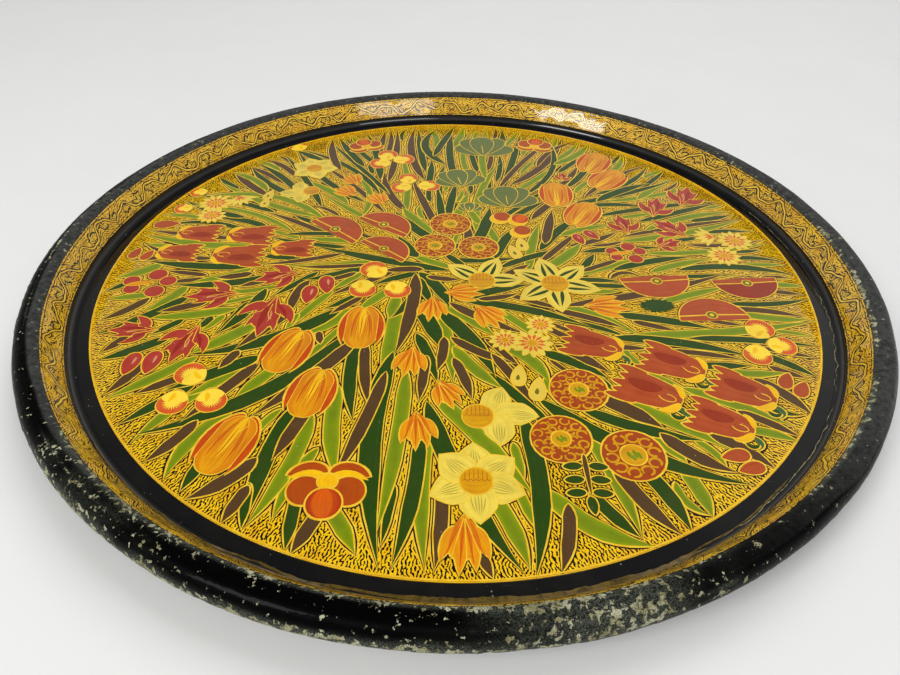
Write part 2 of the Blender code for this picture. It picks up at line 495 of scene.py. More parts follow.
class Painter:
    """Lays thin closed shapes on a surface and collects them by paint.

    to_surface turns rows of (x, y, height) into points on the tray, in millimetres.
    """

    def __init__(self, low, high, to_surface, lift=0.0):
        self.low = np.array(low, float)
        shape = np.ceil((np.array(high) - self.low) / CELL).astype(int)
        self.layer = np.zeros(shape, np.int16)
        self.to_surface = to_surface
        self.lift = lift
        self.made = {}

    def cells(self, outline):
        """The grid cells inside a closed outline: a window of the grid and a mask in it."""
        low = np.floor((outline.min(0) - self.low) / CELL).astype(int)
        high = np.ceil((outline.max(0) - self.low) / CELL).astype(int) + 1
        low, high = np.maximum(low, 0), np.minimum(high, self.layer.shape)
        if (high <= low).any():
            return None
        x = self.low[0] + (np.arange(low[0], high[0])[:, None] + 0.5) * CELL
        y = self.low[1] + (np.arange(low[1], high[1])[None, :] + 0.5) * CELL
        inside = np.zeros((high[0] - low[0], high[1] - low[1]), bool)
        ends = np.roll(outline, -1, axis=0)
        for (x1, y1), (x2, y2) in zip(outline, ends):
            if y1 != y2:
                crosses = (y1 > y) != (y2 > y)
                inside ^= crosses & (x < (x2 - x1) * (y - y1) / (y2 - y1) + x1)
        return (slice(low[0], high[0]), slice(low[1], high[1])), inside

    def add(self, paint_name, points, faces, uvs):
        """Adds a shape to what is painted in a paint: its points, faces, uvs and their number."""
        made = self.made.setdefault(paint_name, ([], [], [], [0]))
        made[0].append(self.to_surface(points))
        made[1].extend(np.asarray(face) + made[3][0] for face in faces)
        made[2].append(uvs)
        made[3][0] += len(points)

    def under(self, places):
        """The highest layer of paint at these places."""
        index = np.floor((places - self.low) / CELL).astype(int)
        index = np.clip(index, 0, np.array(self.layer.shape) - 1)
        return int(self.layer[index[:, 0], index[:, 1]].max())

    def strip(self, paint_name, left, right, bottom, top):
        """A thin solid between two lines that have as many points."""
        n = len(left)
        points = np.concatenate([np.column_stack([side, np.full(n, height)])
                                 for side in (left, right) for height in (top, bottom)])
        uvs = np.column_stack([np.tile(np.linspace(0, 1, n), 4), np.repeat([0.0, 1.0], 2 * n)])
        lt, lb, rt, rb = (k * n for k in range(4))
        i = np.arange(n - 1)
        faces = np.concatenate([
            np.stack([lt + i, rt + i, rt + i + 1, lt + i + 1], 1),
            np.stack([lb + i + 1, rb + i + 1, rb + i, lb + i], 1),
            np.stack([lb + i, lt + i, lt + i + 1, lb + i + 1], 1),
            np.stack([rb + i + 1, rt + i + 1, rt + i, rb + i], 1),
        ])
        ends = [(lt, lb, rb, rt), (lt + n - 1, rt + n - 1, rb + n - 1, lb + n - 1)]
        self.add(paint_name, points, list(faces) + ends, uvs)

    def line(self, paint_name, points, width=LINE, closed=False, wobble=0.18, over=0.55):
        """A brush line of nearly even width, on top of whatever it crosses."""
        points = np.asarray(points, float)
        if closed:
            ahead, behind = np.roll(points, -1, 0), np.roll(points, 1, 0)
        else:
            ahead = np.concatenate([points[1:], points[-1:]])
            behind = np.concatenate([points[:1], points[:-1]])
        reach = width / 2 * (1 + wobble * noise(points, 2.3, 8))[:, None]
        side = left_of(ahead - behind) * reach
        left, right = points + side, points - side
        bottom, top = self.lift - STEP, self.lift + STEP * (self.under(points) + over)
        if not closed:
            self.strip(paint_name, left, right, bottom, top)
            return
        n = len(points)
        section = (left, top), (right, top), (right, bottom), (left, bottom)
        rings = [np.column_stack([edge, np.full(n, height)]) for edge, height in section]
        u, v = np.repeat(np.linspace(0, 1, n), 4), np.tile([0.0, 1.0, 1.0, 0.0], n)
        self.add(paint_name, np.stack(rings, 1).reshape(-1, 3), ring_faces(n, 4)[:, ::-1],
                 np.column_stack([u, v]))

    def petal(self, paint_name, start, end, width, ends=(0.5, 0.8), bend=0.0, rim=LINE,
              steps=12, block=1.0, half=(1.0, 1.0)):
        """A leaf or petal from start to end, bowed to its left by bend times its length.

        ends shapes the two ends: 0.5 is round, 1 pointed, more than 1 drawn out. block over 1
        keeps the middle at full width for longer. rim is how far its gold edge reaches. half
        gives how much of its width there is on the left and on the right.
        """
        form = (start, end, width, ends, bend, steps, block, half)
        if rim >= LEAST_INKED:
            left, right = petal_sides(*form, more=rim + INK_BEYOND)
            self.strip("ink_line", left, right, self.lift - STEP, self.lift + STEP * 0.5)
        if rim:
            self.fill("gold_line", *petal_sides(*form, more=rim))
        self.fill(paint_name, *petal_sides(*form))

    def fill(self, paint_name, left, right):
        """A strip one layer above everything under it."""
        outline = joined(left, right)
        layer = self.under(outline) + 1
        found = self.cells(outline)
        if found and found[1].any():
            window, inside = found
            layer = int(self.layer[window][inside].max()) + 1
            self.layer[window][inside] = layer
        self.strip(paint_name, left, right, self.lift - STEP, self.lift + STEP * layer)

    def finish(self, prefix, materials):
        """Makes one piece of all that was painted in each paint."""
        for paint_name, (points, faces, uvs, _) in self.made.items():
            new_mesh(f"{prefix}_{paint_name}", np.concatenate(points), faces,
                     materials[paint_name], uvs=np.concatenate(uvs))


def joined(left, right):
    """The closed outline of a strip, from its two sides."""
    return np.concatenate([left, right[-2:0:-1]])


def petal_sides(start, end, width, ends, bend, steps, block=1.0, half=(1.0, 1.0), more=0.0):
    """The two sides of a petal, both from its start to its end, moved out by more.

    The other values are those of Painter.petal.
    """
    start, end = np.asarray(start, float), np.asarray(end, float)
    run = (end - start) / max(1e-6, np.hypot(*(end - start)))
    start, end = start - run * more, end + run * more * 1.3
    a, b = ends
    # points closer together at both ends, where the outline turns fastest
    t = 0.5 - 0.5 * np.cos(np.linspace(0, pi, steps + 1))
    peak = a / (a + b)
    swell = (np.maximum(t, 1e-9) / peak) ** a * (np.maximum(1 - t, 1e-9) / (1 - peak)) ** b
    swell = np.minimum(swell * block, 1.0)
    whole = end - start
    left_way = np.array([-whole[1], whole[0]])
    middle = start + t[:, None] * whole + (bend * 4 * t * (1 - t))[:, None] * left_way
    side = left_of(np.gradient(middle, axis=0))
    sides = []
    for share in half:
        reach = swell * width / 2 * share + more * np.minimum(1, 2.5 * swell)
        reach[0] = reach[-1] = min(0.02, width / 4)
        sides.append(reach[:, None])
    return middle + side * sides[0], middle - side * sides[1]


class Flower:
    """A painter that draws in a flower's own frame: x from its stem to its mouth, y to its left.

    Coordinates are parts of the flower's size.
    """

    def __init__(self, painter, at, heading, size):
        self.painter, self.at, self.size = painter, np.array(at, float), size
        c, s = aim(heading)
        self.turn = np.array([[c, -s], [s, c]])

    def to_tray(self, places):
        return self.at + (np.asarray(places, float) * self.size) @ self.turn.T

    def petal(self, paint_name, start, end, width, *args, **options):
        both = self.to_tray([start, end])
        self.painter.petal(paint_name, both[0], both[1], width * self.size, *args, **options)

    def group(self, paint_name, petals, rim=LINE, steps=12):
        """Petals of one flower whose gold edges all lie under all of them."""
        strips = []
        for start, end, width, ends, bend in petals:
            both = self.to_tray([start, end])
            strips.append((*both, width * self.size, ends, bend, steps))
        for form in strips:
            left, right = petal_sides(*form, more=rim + INK_BEYOND)
            self.painter.strip("ink_line", left, right, -STEP, STEP * 0.5)
        for form in strips:
            self.painter.fill("gold_line", *petal_sides(*form, more=rim))
        for form in strips:
            self.painter.fill(paint_name, *petal_sides(*form))

    def both(self, paint_name, start, end, width, ends, bend, **options):
        """The same petal on the left and mirrored on the right."""
        for side in (1, -1):
            ends_at = (start[0], start[1] * side), (end[0], end[1] * side)
            self.petal(paint_name, *ends_at, width, ends, bend * side, **options)

    def disc(self, paint_name, centre, radius, squash=1.0, **options):
        """A round spot, longer along the flower than across it if squash is over 1."""
        x, y = centre
        reach = radius * squash
        self.petal(paint_name, (x - reach, y), (x + reach, y), 2 * radius, (0.5, 0.5), **options)

    def line(self, paint_name, places, width=LINE, **options):
        self.painter.line(paint_name, self.to_tray(places), width, **options)


# ---------------------------------------------------------------- flowers

def tulip(f):
    f.both("tulip_red", (-0.48, 0.05), (0.42, 0.25), 0.17, (0.4, 1.0), 0.13)
    f.petal("tulip_body", (-0.46, 0), (0.5, 0), 0.48, (0.42, 0.42), block=1.2, rim=0.3, steps=18)
    f.both("tulip_flame", (-0.38, 0.06), (0.3, 0.13), 0.09, (0.5, 1.0), 0.05, rim=0)
    f.petal("tulip_yellow", (-0.44, 0), (0.3, 0.0), 0.08, (0.6, 1.3), rim=0.2)
    for k in range(-5, 6):
        y = 0.042 * k + 0.008 * (k % 3)
        root, tip = (-0.3 + 0.03 * abs(k), y * 0.8), (0.36 - 0.035 * abs(k), y)
        f.petal("tulip_red", root, tip, 0.008, (0.6, 0.8), 0.03 * (k % 2), rim=0, steps=7)
    f.line("gold_line", [(-0.45, 0.02), (-0.34, 0.09), (-0.24, 0.05), (-0.1, 0.02)], 0.35)


def pansy(f):
    for side in (1, -1):
        wing = (-0.25, 0.02 * side), (-0.2, 0.56 * side)
        f.petal("pansy_brown", *wing, 0.27, (0.6, 0.9), 0.13 * side)
        inner = (-0.15, 0.02 * side), (-0.14, 0.54 * side)
        f.petal("tulip_yellow", *inner, 0.14, (0.5, 1.0), 0.16 * side, rim=0.2)
        f.disc("pansy_brown", (0.04, 0.29 * side), 0.23)
    f.disc("tulip_yellow", (-0.12, 0), 0.13, 0.9)
    f.disc("pansy_orange", (0.24, 0), 0.235)


def bud_trio(f):
    """Three round buds in yellow cups."""
    for x, y, colour in ((0.1, 0.36, "brown"), (0.24, -0.06, "orange"), (-0.2, -0.34, "brown")):
        f.disc("tulip_yellow", (x - 0.12, y), 0.22)
        f.disc("pansy_" + colour, (x, y), 0.2, rim=0.3)


def daffodil(f):
    for way in (93, 37, -18, -86, -158, 139):
        tip = aim(way) * 0.53
        f.petal("pale_yellow", tip * 0.04, tip, 0.4, (1.0, 1.2), block=1.08, rim=0.3)
        streaks(f, tip * 0.3, tip * 0.86, 0.055)
    daffodil_cup(f, (0, 0), 0.172)


def streaks(f, start, end, spread):
    """Fine darker hairs along a pale petal."""
    run = np.asarray(end) - start
    side = np.array([-run[1], run[0]]) / np.hypot(*run)
    for k in (-1.6, -0.7, 0.1, 0.8, 1.7):
        shift = side * spread * k
        root = start + shift * 0.8 + run * 0.1 * abs(k)
        tip = end + shift * 0.3 - run * 0.12 * abs(k)
        f.petal("daffodil_shade", root, tip, 0.014, (0.9, 1.2), 0.04 * k, rim=0, steps=6)


def star_daffodil(f, ways=(151, 105, 44, -12, -87, -143)):
    """A daffodil with narrower petals, each with two green streaks."""
    for way in ways:
        tip = aim(way) * 0.5
        f.petal("pale_yellow", tip * 0.1, tip * 1.05, 0.26, (0.9, 1.15), block=1.1, rim=0.3)
        for side in (1, -1):
            shift = aim(way + 90) * 0.055 * side
            streak = tip * 0.26 + shift, tip * 0.86 + shift * 0.2
            f.petal("leaf_dark", *streak, 0.045, (0.7, 1.2), 0.03 * side, rim=0)
    daffodil_cup(f, (0, 0), 0.155)


def open_star(f):
    """The same flower turned away, so that only three of its petals show."""
    star_daffodil(f, (142, 65, 2))


def daffodil_cup(f, centre, radius):
    """The flower's cup, with folds and a toothed edge in brown."""
    f.disc("cup_yellow", centre, radius, rim=0.4)
    x, y = centre
    for k in (-0.7, -0.42, -0.14, 0.14, 0.42, 0.7):
        reach = radius * 0.9 * (1 - k * k) ** 0.5
        f.line("cup_brown", [(x + k * radius, y + 0.02), (x + k * radius * 0.96, y + reach)], 0.22)
    teeth = [(x + radius * (-0.86 + 0.172 * j), y + radius * 0.1 * (j % 2)) for j in range(11)]
    f.line("cup_brown", teeth, 0.3)


def daffodil_side(f):
    """A daffodil seen from the side: three broad petals open away from the cup."""
    for way, reach in ((80, 0.46), (-4, 0.5), (-88, 0.5)):
        tip = (0.08, 0.02) + aim(way) * reach
        f.petal("pale_yellow", (0.04, 0.02), tip, 0.36, (0.7, 1.0), 0.05, block=1.15, rim=0.3)
        streaks(f, (0.08, 0.02) + aim(way) * reach * 0.3, tip, 0.05)
    daffodil_cup(f, (-0.16, -0.02), 0.19)


def rosette(f):
    """A round flower of loops drawn in gold on red, with a yellow eye."""
    f.disc("rosette_red", (0, 0), 0.5, rim=0.6)
    loops(f, 12, 0.385, 0.085, 0.5, 8, 1, 0.78, 0.15)
    loops(f, 9, 0.225, 0.06, 0.0, 8, 1, 0.78, 0.15)
    eye(f, 0.155)


def big_rosette(f):
    f.disc("rosette_red", (0, 0), 0.5, rim=0.6)
    loops(f, 10, 0.35, 0.1, 0.3, 10, 0.63, 0.9)
    eye(f, 0.2)


def loops(f, count, away, size, shift, points, twist, width, lean=0.0):
    """Open loops in a ring. twist turns each from the one before, lean moves them unevenly."""
    for k in range(count):
        middle = spin(2 * pi * (k + shift) / count) * away
        loop = circle(around(points) + twist * k) * (1, 0.9) + spin(2.4 * k + away * 40) * lean
        f.line("cup_yellow", (middle + size * loop)[:points - 1 + k % 2], width, wobble=0.4)


def eye(f, radius):
    """A round yellow middle with green strokes on it."""
    f.disc("cup_yellow", (0, 0), radius, rim=0.5)
    for x, y, reach in ((-0.45, 0.3, 0.8), (0.0, 0.5, 1.1), (0.35, 0.3, 0.9), (-0.1, -0.05, 0.7)):
        at = np.array([x, y]) * radius
        tip = at + np.array([0.3, -0.8]) * radius * reach
        f.petal("leaf_light", at, tip, 0.34 * radius, (0.6, 0.8), rim=0)


def poppy(f, dome="poppy_red"):
    """A cup seen from the side: a dome, a flat side with a stripe by it, and an eye on that."""
    f.petal(dome, (-0.5, -0.2), (0.5, -0.2), 0.98, (0.5, 0.5), steps=24, half=(1.0, 0.0), rim=0.5)
    f.petal("poppy_red", (-0.49, -0.16), (0.49, -0.16), 0.11, (0.3, 0.3), rim=0, steps=8)
    f.line("gold_line", [(-0.49, -0.1), (0.0, -0.085), (0.49, -0.1)], 0.7)
    f.disc("olive", (-0.02, -0.09), 0.07, rim=0.4)
    f.disc("gold_line", (-0.02, -0.09), 0.03, rim=0)


def dark_poppy(f):
    poppy(f, "poppy_dark")


def crown_bell(f):
    """A hanging bell seen from the side, its mouth cut into points."""
    teeth = [((0.1, y * 0.85), (0.5 - 0.06 * (k % 2), y * 1.14), 0.19, (0.1, 0.62), 0.1 * y)
             for k, y in enumerate((-0.28, -0.13, 0.02, 0.16, 0.28))]
    body = ((-0.5, 0), (0.34, 0), 0.62, (0.3, 0.08), 0.0)
    f.group("bell_red", teeth + [body], rim=0.55)
    f.petal("bell_shade", (-0.2, -0.12), (0.3, -0.1), 0.22, (0.6, 0.6), 0.1, rim=0)
    f.petal("tulip_yellow", (-0.475, 0.06), (-0.26, 0.29), 0.11, (0.5, 0.7), 0.16, rim=0.3)
    f.petal("tulip_yellow", (-0.485, -0.06), (-0.3, -0.28), 0.09, (0.6, 0.8), -0.16, rim=0.2)
    curl = (-0.3, 0.02) + circle(np.linspace(0.2, 4.9, 10)) * (0.12, 0.07)
    f.line("gold_line", curl, 0.45)


def stalk_bell(f):
    """The same bell with the green hook that it hangs from."""
    f.petal("leaf_teal", (-0.46, 0.12), (-0.56, 0.38), 0.085, (0.6, 0.8), 0.42, rim=0.3)
    f.petal("leaf_dark", (-0.42, 0.28), (-0.6, 0.24), 0.075, (0.5, 0.6), -0.34, rim=0.3)
    crown_bell(f)


def daisy(f):
    for way in around(12):
        f.petal("pale_yellow", spin(way) * 0.12, spin(way) * 0.5, 0.17, (0.7, 0.9), rim=0.2)
    f.disc("daisy_red", (0, 0), 0.24, rim=0)
    for way in around(12) + pi / 12:
        f.petal("daisy_red", spin(way) * 0.18, spin(way) * 0.33, 0.07, (0.4, 1.1), rim=0)
        aside = spin(way + 0.26)
        f.petal("pale_yellow", aside * 0.12, aside * 0.26, 0.04, (0.6, 1.1), rim=0)
    f.disc("cup_yellow", (0, 0), 0.11, rim=0.2)


def daisy_side(f):
    for way in (-60, -36, -12, 12, 36, 60):
        f.petal("pale_yellow", (-0.3, 0), (-0.3, 0) + aim(way) * 0.75, 0.2, (0.6, 0.9), rim=0.2)
    for way in (-40, -15, 15, 40):
        f.petal("daisy_red", (-0.32, 0), (-0.32, 0) + aim(way) * 0.4, 0.08, (0.6, 1.0), rim=0)


def lily(f):
    """A crimson flower seen from the side: pointed lobes part from one body."""
    lobes = [
        ((-0.5, 0), (0.32, 0.0), 0.4, (1.1, 0.5), 0.0),
        ((-0.1, 0.0), (0.52, 0.03), 0.25, (0.4, 1.0), 0.0),
        ((-0.24, 0.08), (0.16, 0.42), 0.2, (0.5, 1.15), 0.12),
        ((-0.24, -0.08), (0.1, -0.43), 0.2, (0.5, 1.15), -0.12),
        ((0.0, 0.06), (0.36, 0.22), 0.13, (0.4, 1.1), 0.04),
        ((0.0, -0.06), (0.32, -0.23), 0.13, (0.4, 1.1), -0.04),
    ]
    f.group("crimson", lobes, rim=0.45)
    f.petal("crimson_dark", (-0.2, -0.06), (0.36, -0.03), 0.1, (0.6, 0.9), rim=0)
    f.petal("crimson_dark", (-0.26, 0.08), (0.08, 0.32), 0.06, (0.6, 0.9), 0.08, rim=0)
    f.petal("rose", (-0.1, 0.03), (0.2, 0.05), 0.03, (0.7, 1.2), 0.1, rim=0)
    for side in (1, -1):
        vein = [(-0.48, 0.0), (-0.26, 0.05 * side), (-0.06, 0.11 * side), (0.04, 0.3 * side)]
        f.line("gold_line", vein, 0.36)
    f.line("gold_line", [(-0.26, 0.0), (-0.02, 0.01), (0.12, 0.07), (0.08, 0.1)], 0.36)


def orchid(f):
    """Five loose rounded petals with an orange heart."""
    for x, y, reach in ((0.1, 0.24, 0.17), (0.36, 0.04, 0.15), (0.2, -0.3, 0.17),
                        (-0.34, 0.02, 0.15), (-0.26, -0.24, 0.14)):
        f.disc("crimson", (x, y), reach, 1.05, rim=0.4)
    f.petal("tulip_orange", (-0.4, -0.12), (0.12, 0.02), 0.13, (0.7, 0.9), rim=0.2)


def bud(f):
    f.petal("crimson", (-0.5, 0), (0.5, 0), 0.54, (0.5, 0.8), rim=0.5)
    f.petal("rose", (-0.3, 0.06), (0.05, 0.06), 0.09, (0.6, 0.9), rim=0)


def drop(f):
    f.petal("bell_red", (-0.5, 0), (0.5, 0), 0.56, (0.5, 0.85), rim=0.5)


def pale_bud(f):
    f.petal("pale_gold", (-0.5, 0), (0.5, 0), 0.48, (0.5, 1.0), rim=0.5)
    f.petal("olive", (-0.25, 0.02), (0.02, 0.02), 0.13, (0.5, 0.9), rim=0)


def ball(f):
    """A round yellow bud, drawn to a point at its stem, whose far side is fringed with red."""
    f.petal("ball_red", (-0.56, 0), (0.5, 0), 0.96, (0.72, 0.5), rim=0.4)
    f.petal("ball_yellow", (-0.53, 0.0), (0.04, 0.0), 0.86, (0.75, 0.5), rim=0)
    for way in np.linspace(-80, 80, 11):
        f.petal("ball_yellow", aim(way) * 0.02, aim(way) * 0.36, 0.08, (0.4, 1.3), rim=0)
    f.petal("tulip_yellow", (-0.4, -0.1), (0.0, -0.16), 0.16, (0.6, 0.8), 0.1, rim=0)


def trumpet(f):
    """A small orange lily seen from the side: a skirt that widens to a hem of sharp points."""
    tips = ((0.22, 0.4), (0.44, 0.2), (0.52, -0.05), (0.3, -0.34))
    lobes = [((-0.3, 0.3 * y), (x, y), 0.23, (0.6, 1.15), 0.12 * y) for x, y in tips]
    f.group("tulip_orange", lobes + [((-0.54, 0), (0.24, 0.02), 0.46, (0.9, 0.25), 0.0)], rim=0.45)
    for x, y in tips:
        fold = (-0.45, 0.15 * y), (x * 0.66, y * 0.7)
        f.petal("trumpet_red", *fold, 0.1, (0.6, 1.2), 0.1 * y, rim=0)
        f.line("tulip_red", [(-0.3, 0.2 * y), (0.0, 0.55 * y), (x * 0.7, y * 0.82)], 0.24)
    for x, y in ((0.2, 0.27), (0.28, 0.06), (0.26, -0.18)):
        f.line("gold_line", [(-0.48, 0.0), (-0.2, 0.42 * y), (x, y)], 0.36)


def teal_poppy(f):
    """A dull green flower from the side: round petals overlap in a fan."""
    for way, reach, width in ((62, 0.42, 0.36), (-64, 0.44, 0.38), (30, 0.5, 0.42),
                              (-28, 0.52, 0.4), (2, 0.5, 0.5)):
        tip = (-0.3, 0) + aim(way) * reach * 1.5
        f.petal("teal", (-0.4, 0), tip, width, (0.9, 0.42), rim=0.4)
    f.line("gold_line", [(-0.3, 0), (0.05, 0.02)], 0.5)


def sprig(f):
    """A brown twig with green leaves in pairs."""
    f.petal("leaf_brown", (-0.55, 0), (0.2, 0.02), 0.07, (0.4, 0.9), rim=0.4)
    for x in (-0.34, -0.1, 0.13):
        for side in (1, -1):
            tip = (x + 0.02, 0.33 * side)
            f.petal("leaf_dark", (x, 0.05 * side), tip, 0.14, (0.6, 0.7), rim=0.45)
    f.petal("leaf_dark", (0.2, 0.0), (0.5, 0.03), 0.14, (0.6, 0.8), rim=0.45)


def spiky_leaf(f):
    for way in range(0, 360, 24):
        f.petal("leaf_dark", (0, 0), aim(way) * (0.5, 0.3), 0.2, (0.5, 0.9), rim=0)
    f.disc("leaf_dark", (0, 0), 0.26, 1.4, rim=0)


HEART = np.array([-16.0, 0.0])  # the leaves fan out from about here

# Every flower: what it is, where its middle lies from the centre of the tray, which way its
# mouth points in degrees, and its length.
FLOWERS = [
    (tulip, [(-41, -46, 270, 28), (-70, -62, 252, 28), (-56, -86, 258, 27),
        (-82, -112.5, 250, 29), (56, 73, 88, 27), (68, 52, 62, 27), (88, 92, 50, 28),
        (83, 113, 64, 28)]),
    (pansy, [(-43.5, -131.5, 270, 25.5), (49, 136, 80, 20), (-58, 131, 110, 19)]),
    (bud_trio, [(30, 42, 60, 22)]),
    (trumpet, [(-11, -33, 268, 17), (4, -20.5, 0, 17), (14.5, -37.5, 305, 18),
        (-19, -68, 262, 18), (-3.5, -86, 296, 16), (-14, -105, 275, 18), (69, -29, 356, 20),
        (-60.6, 87, 120, 15), (-63, 73, 135, 15), (-44, 65, 120, 15), (3, -152, 268, 21)]),
    (rosette, [(-3.5, 39.5, 0, 21), (-11, 18.5, 0, 20), (11, 17.5, 0, 19.6),
        (48.6, -82, 0, 22.6), (38.8, -107.5, 0, 22)]),
    (big_rosette, [(64, -114.5, 0, 22.6)]),
    (dark_poppy, [(138, -11.5, 186, 31)]),
    (poppy, [(95, -11.5, 186, 33), (115, -30.7, 4, 31.5), (-61, 34, 320, 32),
        (-36.5, 39.5, 326, 31), (-34.5, 16.5, 322, 28)]),
    (stalk_bell, [(57.6, -54.5, 162, 26), (89.2, -65.5, 155, 27), (75.5, -81.5, 153, 28),
        (113.6, -80.4, 153, 26), (100, -97, 155, 25)]),
    (crown_bell, [(-132, 26, 0, 22), (-105, 25, 0, 24), (-137, 8, 0, 21), (-107, 6.5, 0, 26),
        (-81.6, 13.5, 4, 21)]),
    (drop, [(-151.6, 34, 10, 13), (-158.3, 7, 80, 9.5), (-151.8, 5.4, 70, 9),
        (133, -74.8, 60, 10), (137.6, -79.6, 55, 10), (100.8, -114, 190, 10.5),
        (104.8, -119.6, 195, 10)]),
    (daisy, [(-132, 56, 0, 18), (-130.6, 43, 0, 15), (143.4, 28, 0, 18), (134, 14, 0, 17),
        (32.5, -55, 0, 18), (37, -42.5, 20, 13), (21, -53.5, 10, 14)]),
    (daisy_side, [(-119, 60, 300, 13), (129, 31.5, 180, 13)]),
    (lily, [(-111, -25.5, 187, 24), (-84.5, -10, 200, 22), (-83.5, -39, 262, 29),
        (-138, -51, 180, 21), (-114, -58.5, 255, 25), (88.6, 42, 95, 20), (109.6, 60.6, 70, 22),
        (113, 39, 130, 22), (129, 73, 65, 24), (108, 24, 20, 16), (62, 94, 80, 11)]),
    (orchid, [(-143.5, -16.5, 0, 24), (85, 16, 0, 20)]),
    (bud, [(-131.8, -72, 265, 13), (-123.7, -71, 268, 13.5), (-67.5, -23.8, 268, 13.5),
        (-60.6, -16, 280, 13.5), (63, 27, 290, 10), (70, 31.5, 310, 10)]),
    (ball, [(-39.5, -3.5, 130, 13), (-43.5, -18.7, 275, 12.5), (-27.5, -19, 290, 12.5),
        (-105.6, -77.5, 140, 12.5), (-108, -93, 265, 12), (-93.7, -91.6, 290, 12),
        (132.8, -42.8, 50, 12.5), (139, -53.6, 350, 11.5), (126.6, -59.5, 250, 12),
        (-43, 118, 80, 12), (-32.6, 113, 20, 12), (-46.6, 107, 200, 12), (-28.5, 88.6, 90, 11),
        (-32, 78, 200, 11), (-16, 80.5, 0, 12), (-145, 68, 200, 9), (-148, 50, 200, 9),
        (-100, 128, 120, 12)]),
    (pale_bud, [(25.5, -74.5, 82, 12), (32.6, -82, 80, 13), (28.8, 14.6, 108, 12),
        (33, 21.5, 96, 12), (-105, 66.5, 80, 10), (-105.4, 58, 90, 9)]),
    (teal_poppy, [(28, 69, 90, 27), (1, 90, 100, 24), (16, 132, 90, 30), (7, 57, 90, 11)]),
    (sprig, [(46, -128, 270, 24)]),
    (spiky_leaf, [(91.5, -27.5, 5, 17)]),
    (daffodil, [(7.4, -127.3, 0, 32.5), (-85, 99, 20, 26)]),
    (daffodil_side, [(13.5, -96.5, 0, 31), (-86, 71, 190, 24)]),
    (star_daffodil, [(46.5, -12, 0, 41)]),
    (open_star, [(12, -10.5, 0, 39)]),
]

# Long leaves in the half of the panel near the viewer: base x, y, tip x, y, width and bow to
# the left. grow_leaves fills in the far half and the gaps between these.
DARK_LEAVES = [
    (-42, -46, -118, -110, 7, 0.10), (-80, -66, -113, -87, 6, 0),
    (-50, -32, -110, -66.3, 6.5, 0.09), (-94, -30, -103, -53, 4.5, 0.06),
    (-41.5, -56, -38.2, -100.7, 5, -0.05), (-26, -62, -23.2, -160.7, 7.5, -0.06),
    (-13, -104, -19.3, -160.5, 5, 0.04), (-60, -92, -68, -148.5, 6, -0.05),
    (-87, -115, -92.5, -134, 4, 0), (-70, -130, -68.5, -148, 3, 0),
    (-53, -133, -53, -155.5, 4, 0), (-18, -30, -6, -60, 7, 0.04), (-17, -50, -7, -80, 4.5, 0.03),
    (-8, -34, 16, -76, 7, 0.06), (-11, -90, 22, -162, 7, -0.05), (25, -96, 25, -163, 6.2, 0.065),
    (46, -131, 60, -148.5, 4.5, -0.03), (64, -118, 77, -146, 5.5, 0.06),
    (32, -87, 104, -127, 6.5, -0.08), (48, -92, 92, -107.3, 5, -0.05),
    (35, -60, 62, -76, 5, 0.05), (70, -34.5, 113.5, -43.7, 4.8, 0.03),
    (66, -50.5, 124, -61, 5, 0.05), (100, -50, 156, -54, 3.8, 0.03), (96, -67, 122, -66.5, 4, 0),
    (126, -58, 147, -73, 4, 0.04), (52, -9, 79, -9.5, 3.4, 0.03), (108, 1, 165, -2, 4.6, 0.09),
    (76, 0, 118, 13, 4.4, 0.04), (60, -2, 69, 14, 4, 0), (124, -24.5, 163.5, -20, 3.4, -0.06),
    (-98, -2.5, -151, 0.6, 5, 0.04), (-84, -9, -132, -18.5, 5, 0.06),
    (-121, -26, -153.5, -55, 5, 0.04), (-88, -20, -102.5, -53, 5, 0.06),
    (-66, -6, -84, -26, 3.4, 0), (-44, -0.5, -72, -12.5, 5, 0.06), (-3, -3, -72, 16.5, 5, 0.02),
    (-52, 26, -92, 25.5, 3.4, -0.05), (-107, -41, -111, -50, 3.4, 0),
    (-119, -43.5, -130, -54, 3.4, 0), (-121, -55, -146, -70.5, 5, 0.03),
    (-148, -13, -161, -25, 3.2, 0), (-15.5, -4.5, -39, -15.5, 4, -0.03),
    (-19, -14, -29, -40, 4.5, 0.1), (-18, -5, -3, -32, 5.8, 0.08), (-18, -9, -11, -30, 4, 0),
    (3, -26.5, 58.5, -43, 5, 0.05), (4, -25, 35, -13, 5, 0.04), (21, 0, 57, 17.5, 4, 0.05),
    (42, 16, 66, 50, 5, 0.04), (19, 8, 31, 38, 5, 0.03), (9, 20, 18, 58, 6, -0.04),
    (-10, 22, -34, 52, 5.5, 0.04), (-19, 8, -30, 27, 6, 0.05), (4, 0, -7, 13, 3.8, 0),
    (-42, -20, -59, -34, 3.8, 0.05), (-84, -76, -86, -84, 3, 0), (78, 66, 112, 88, 5, 0.05),
]
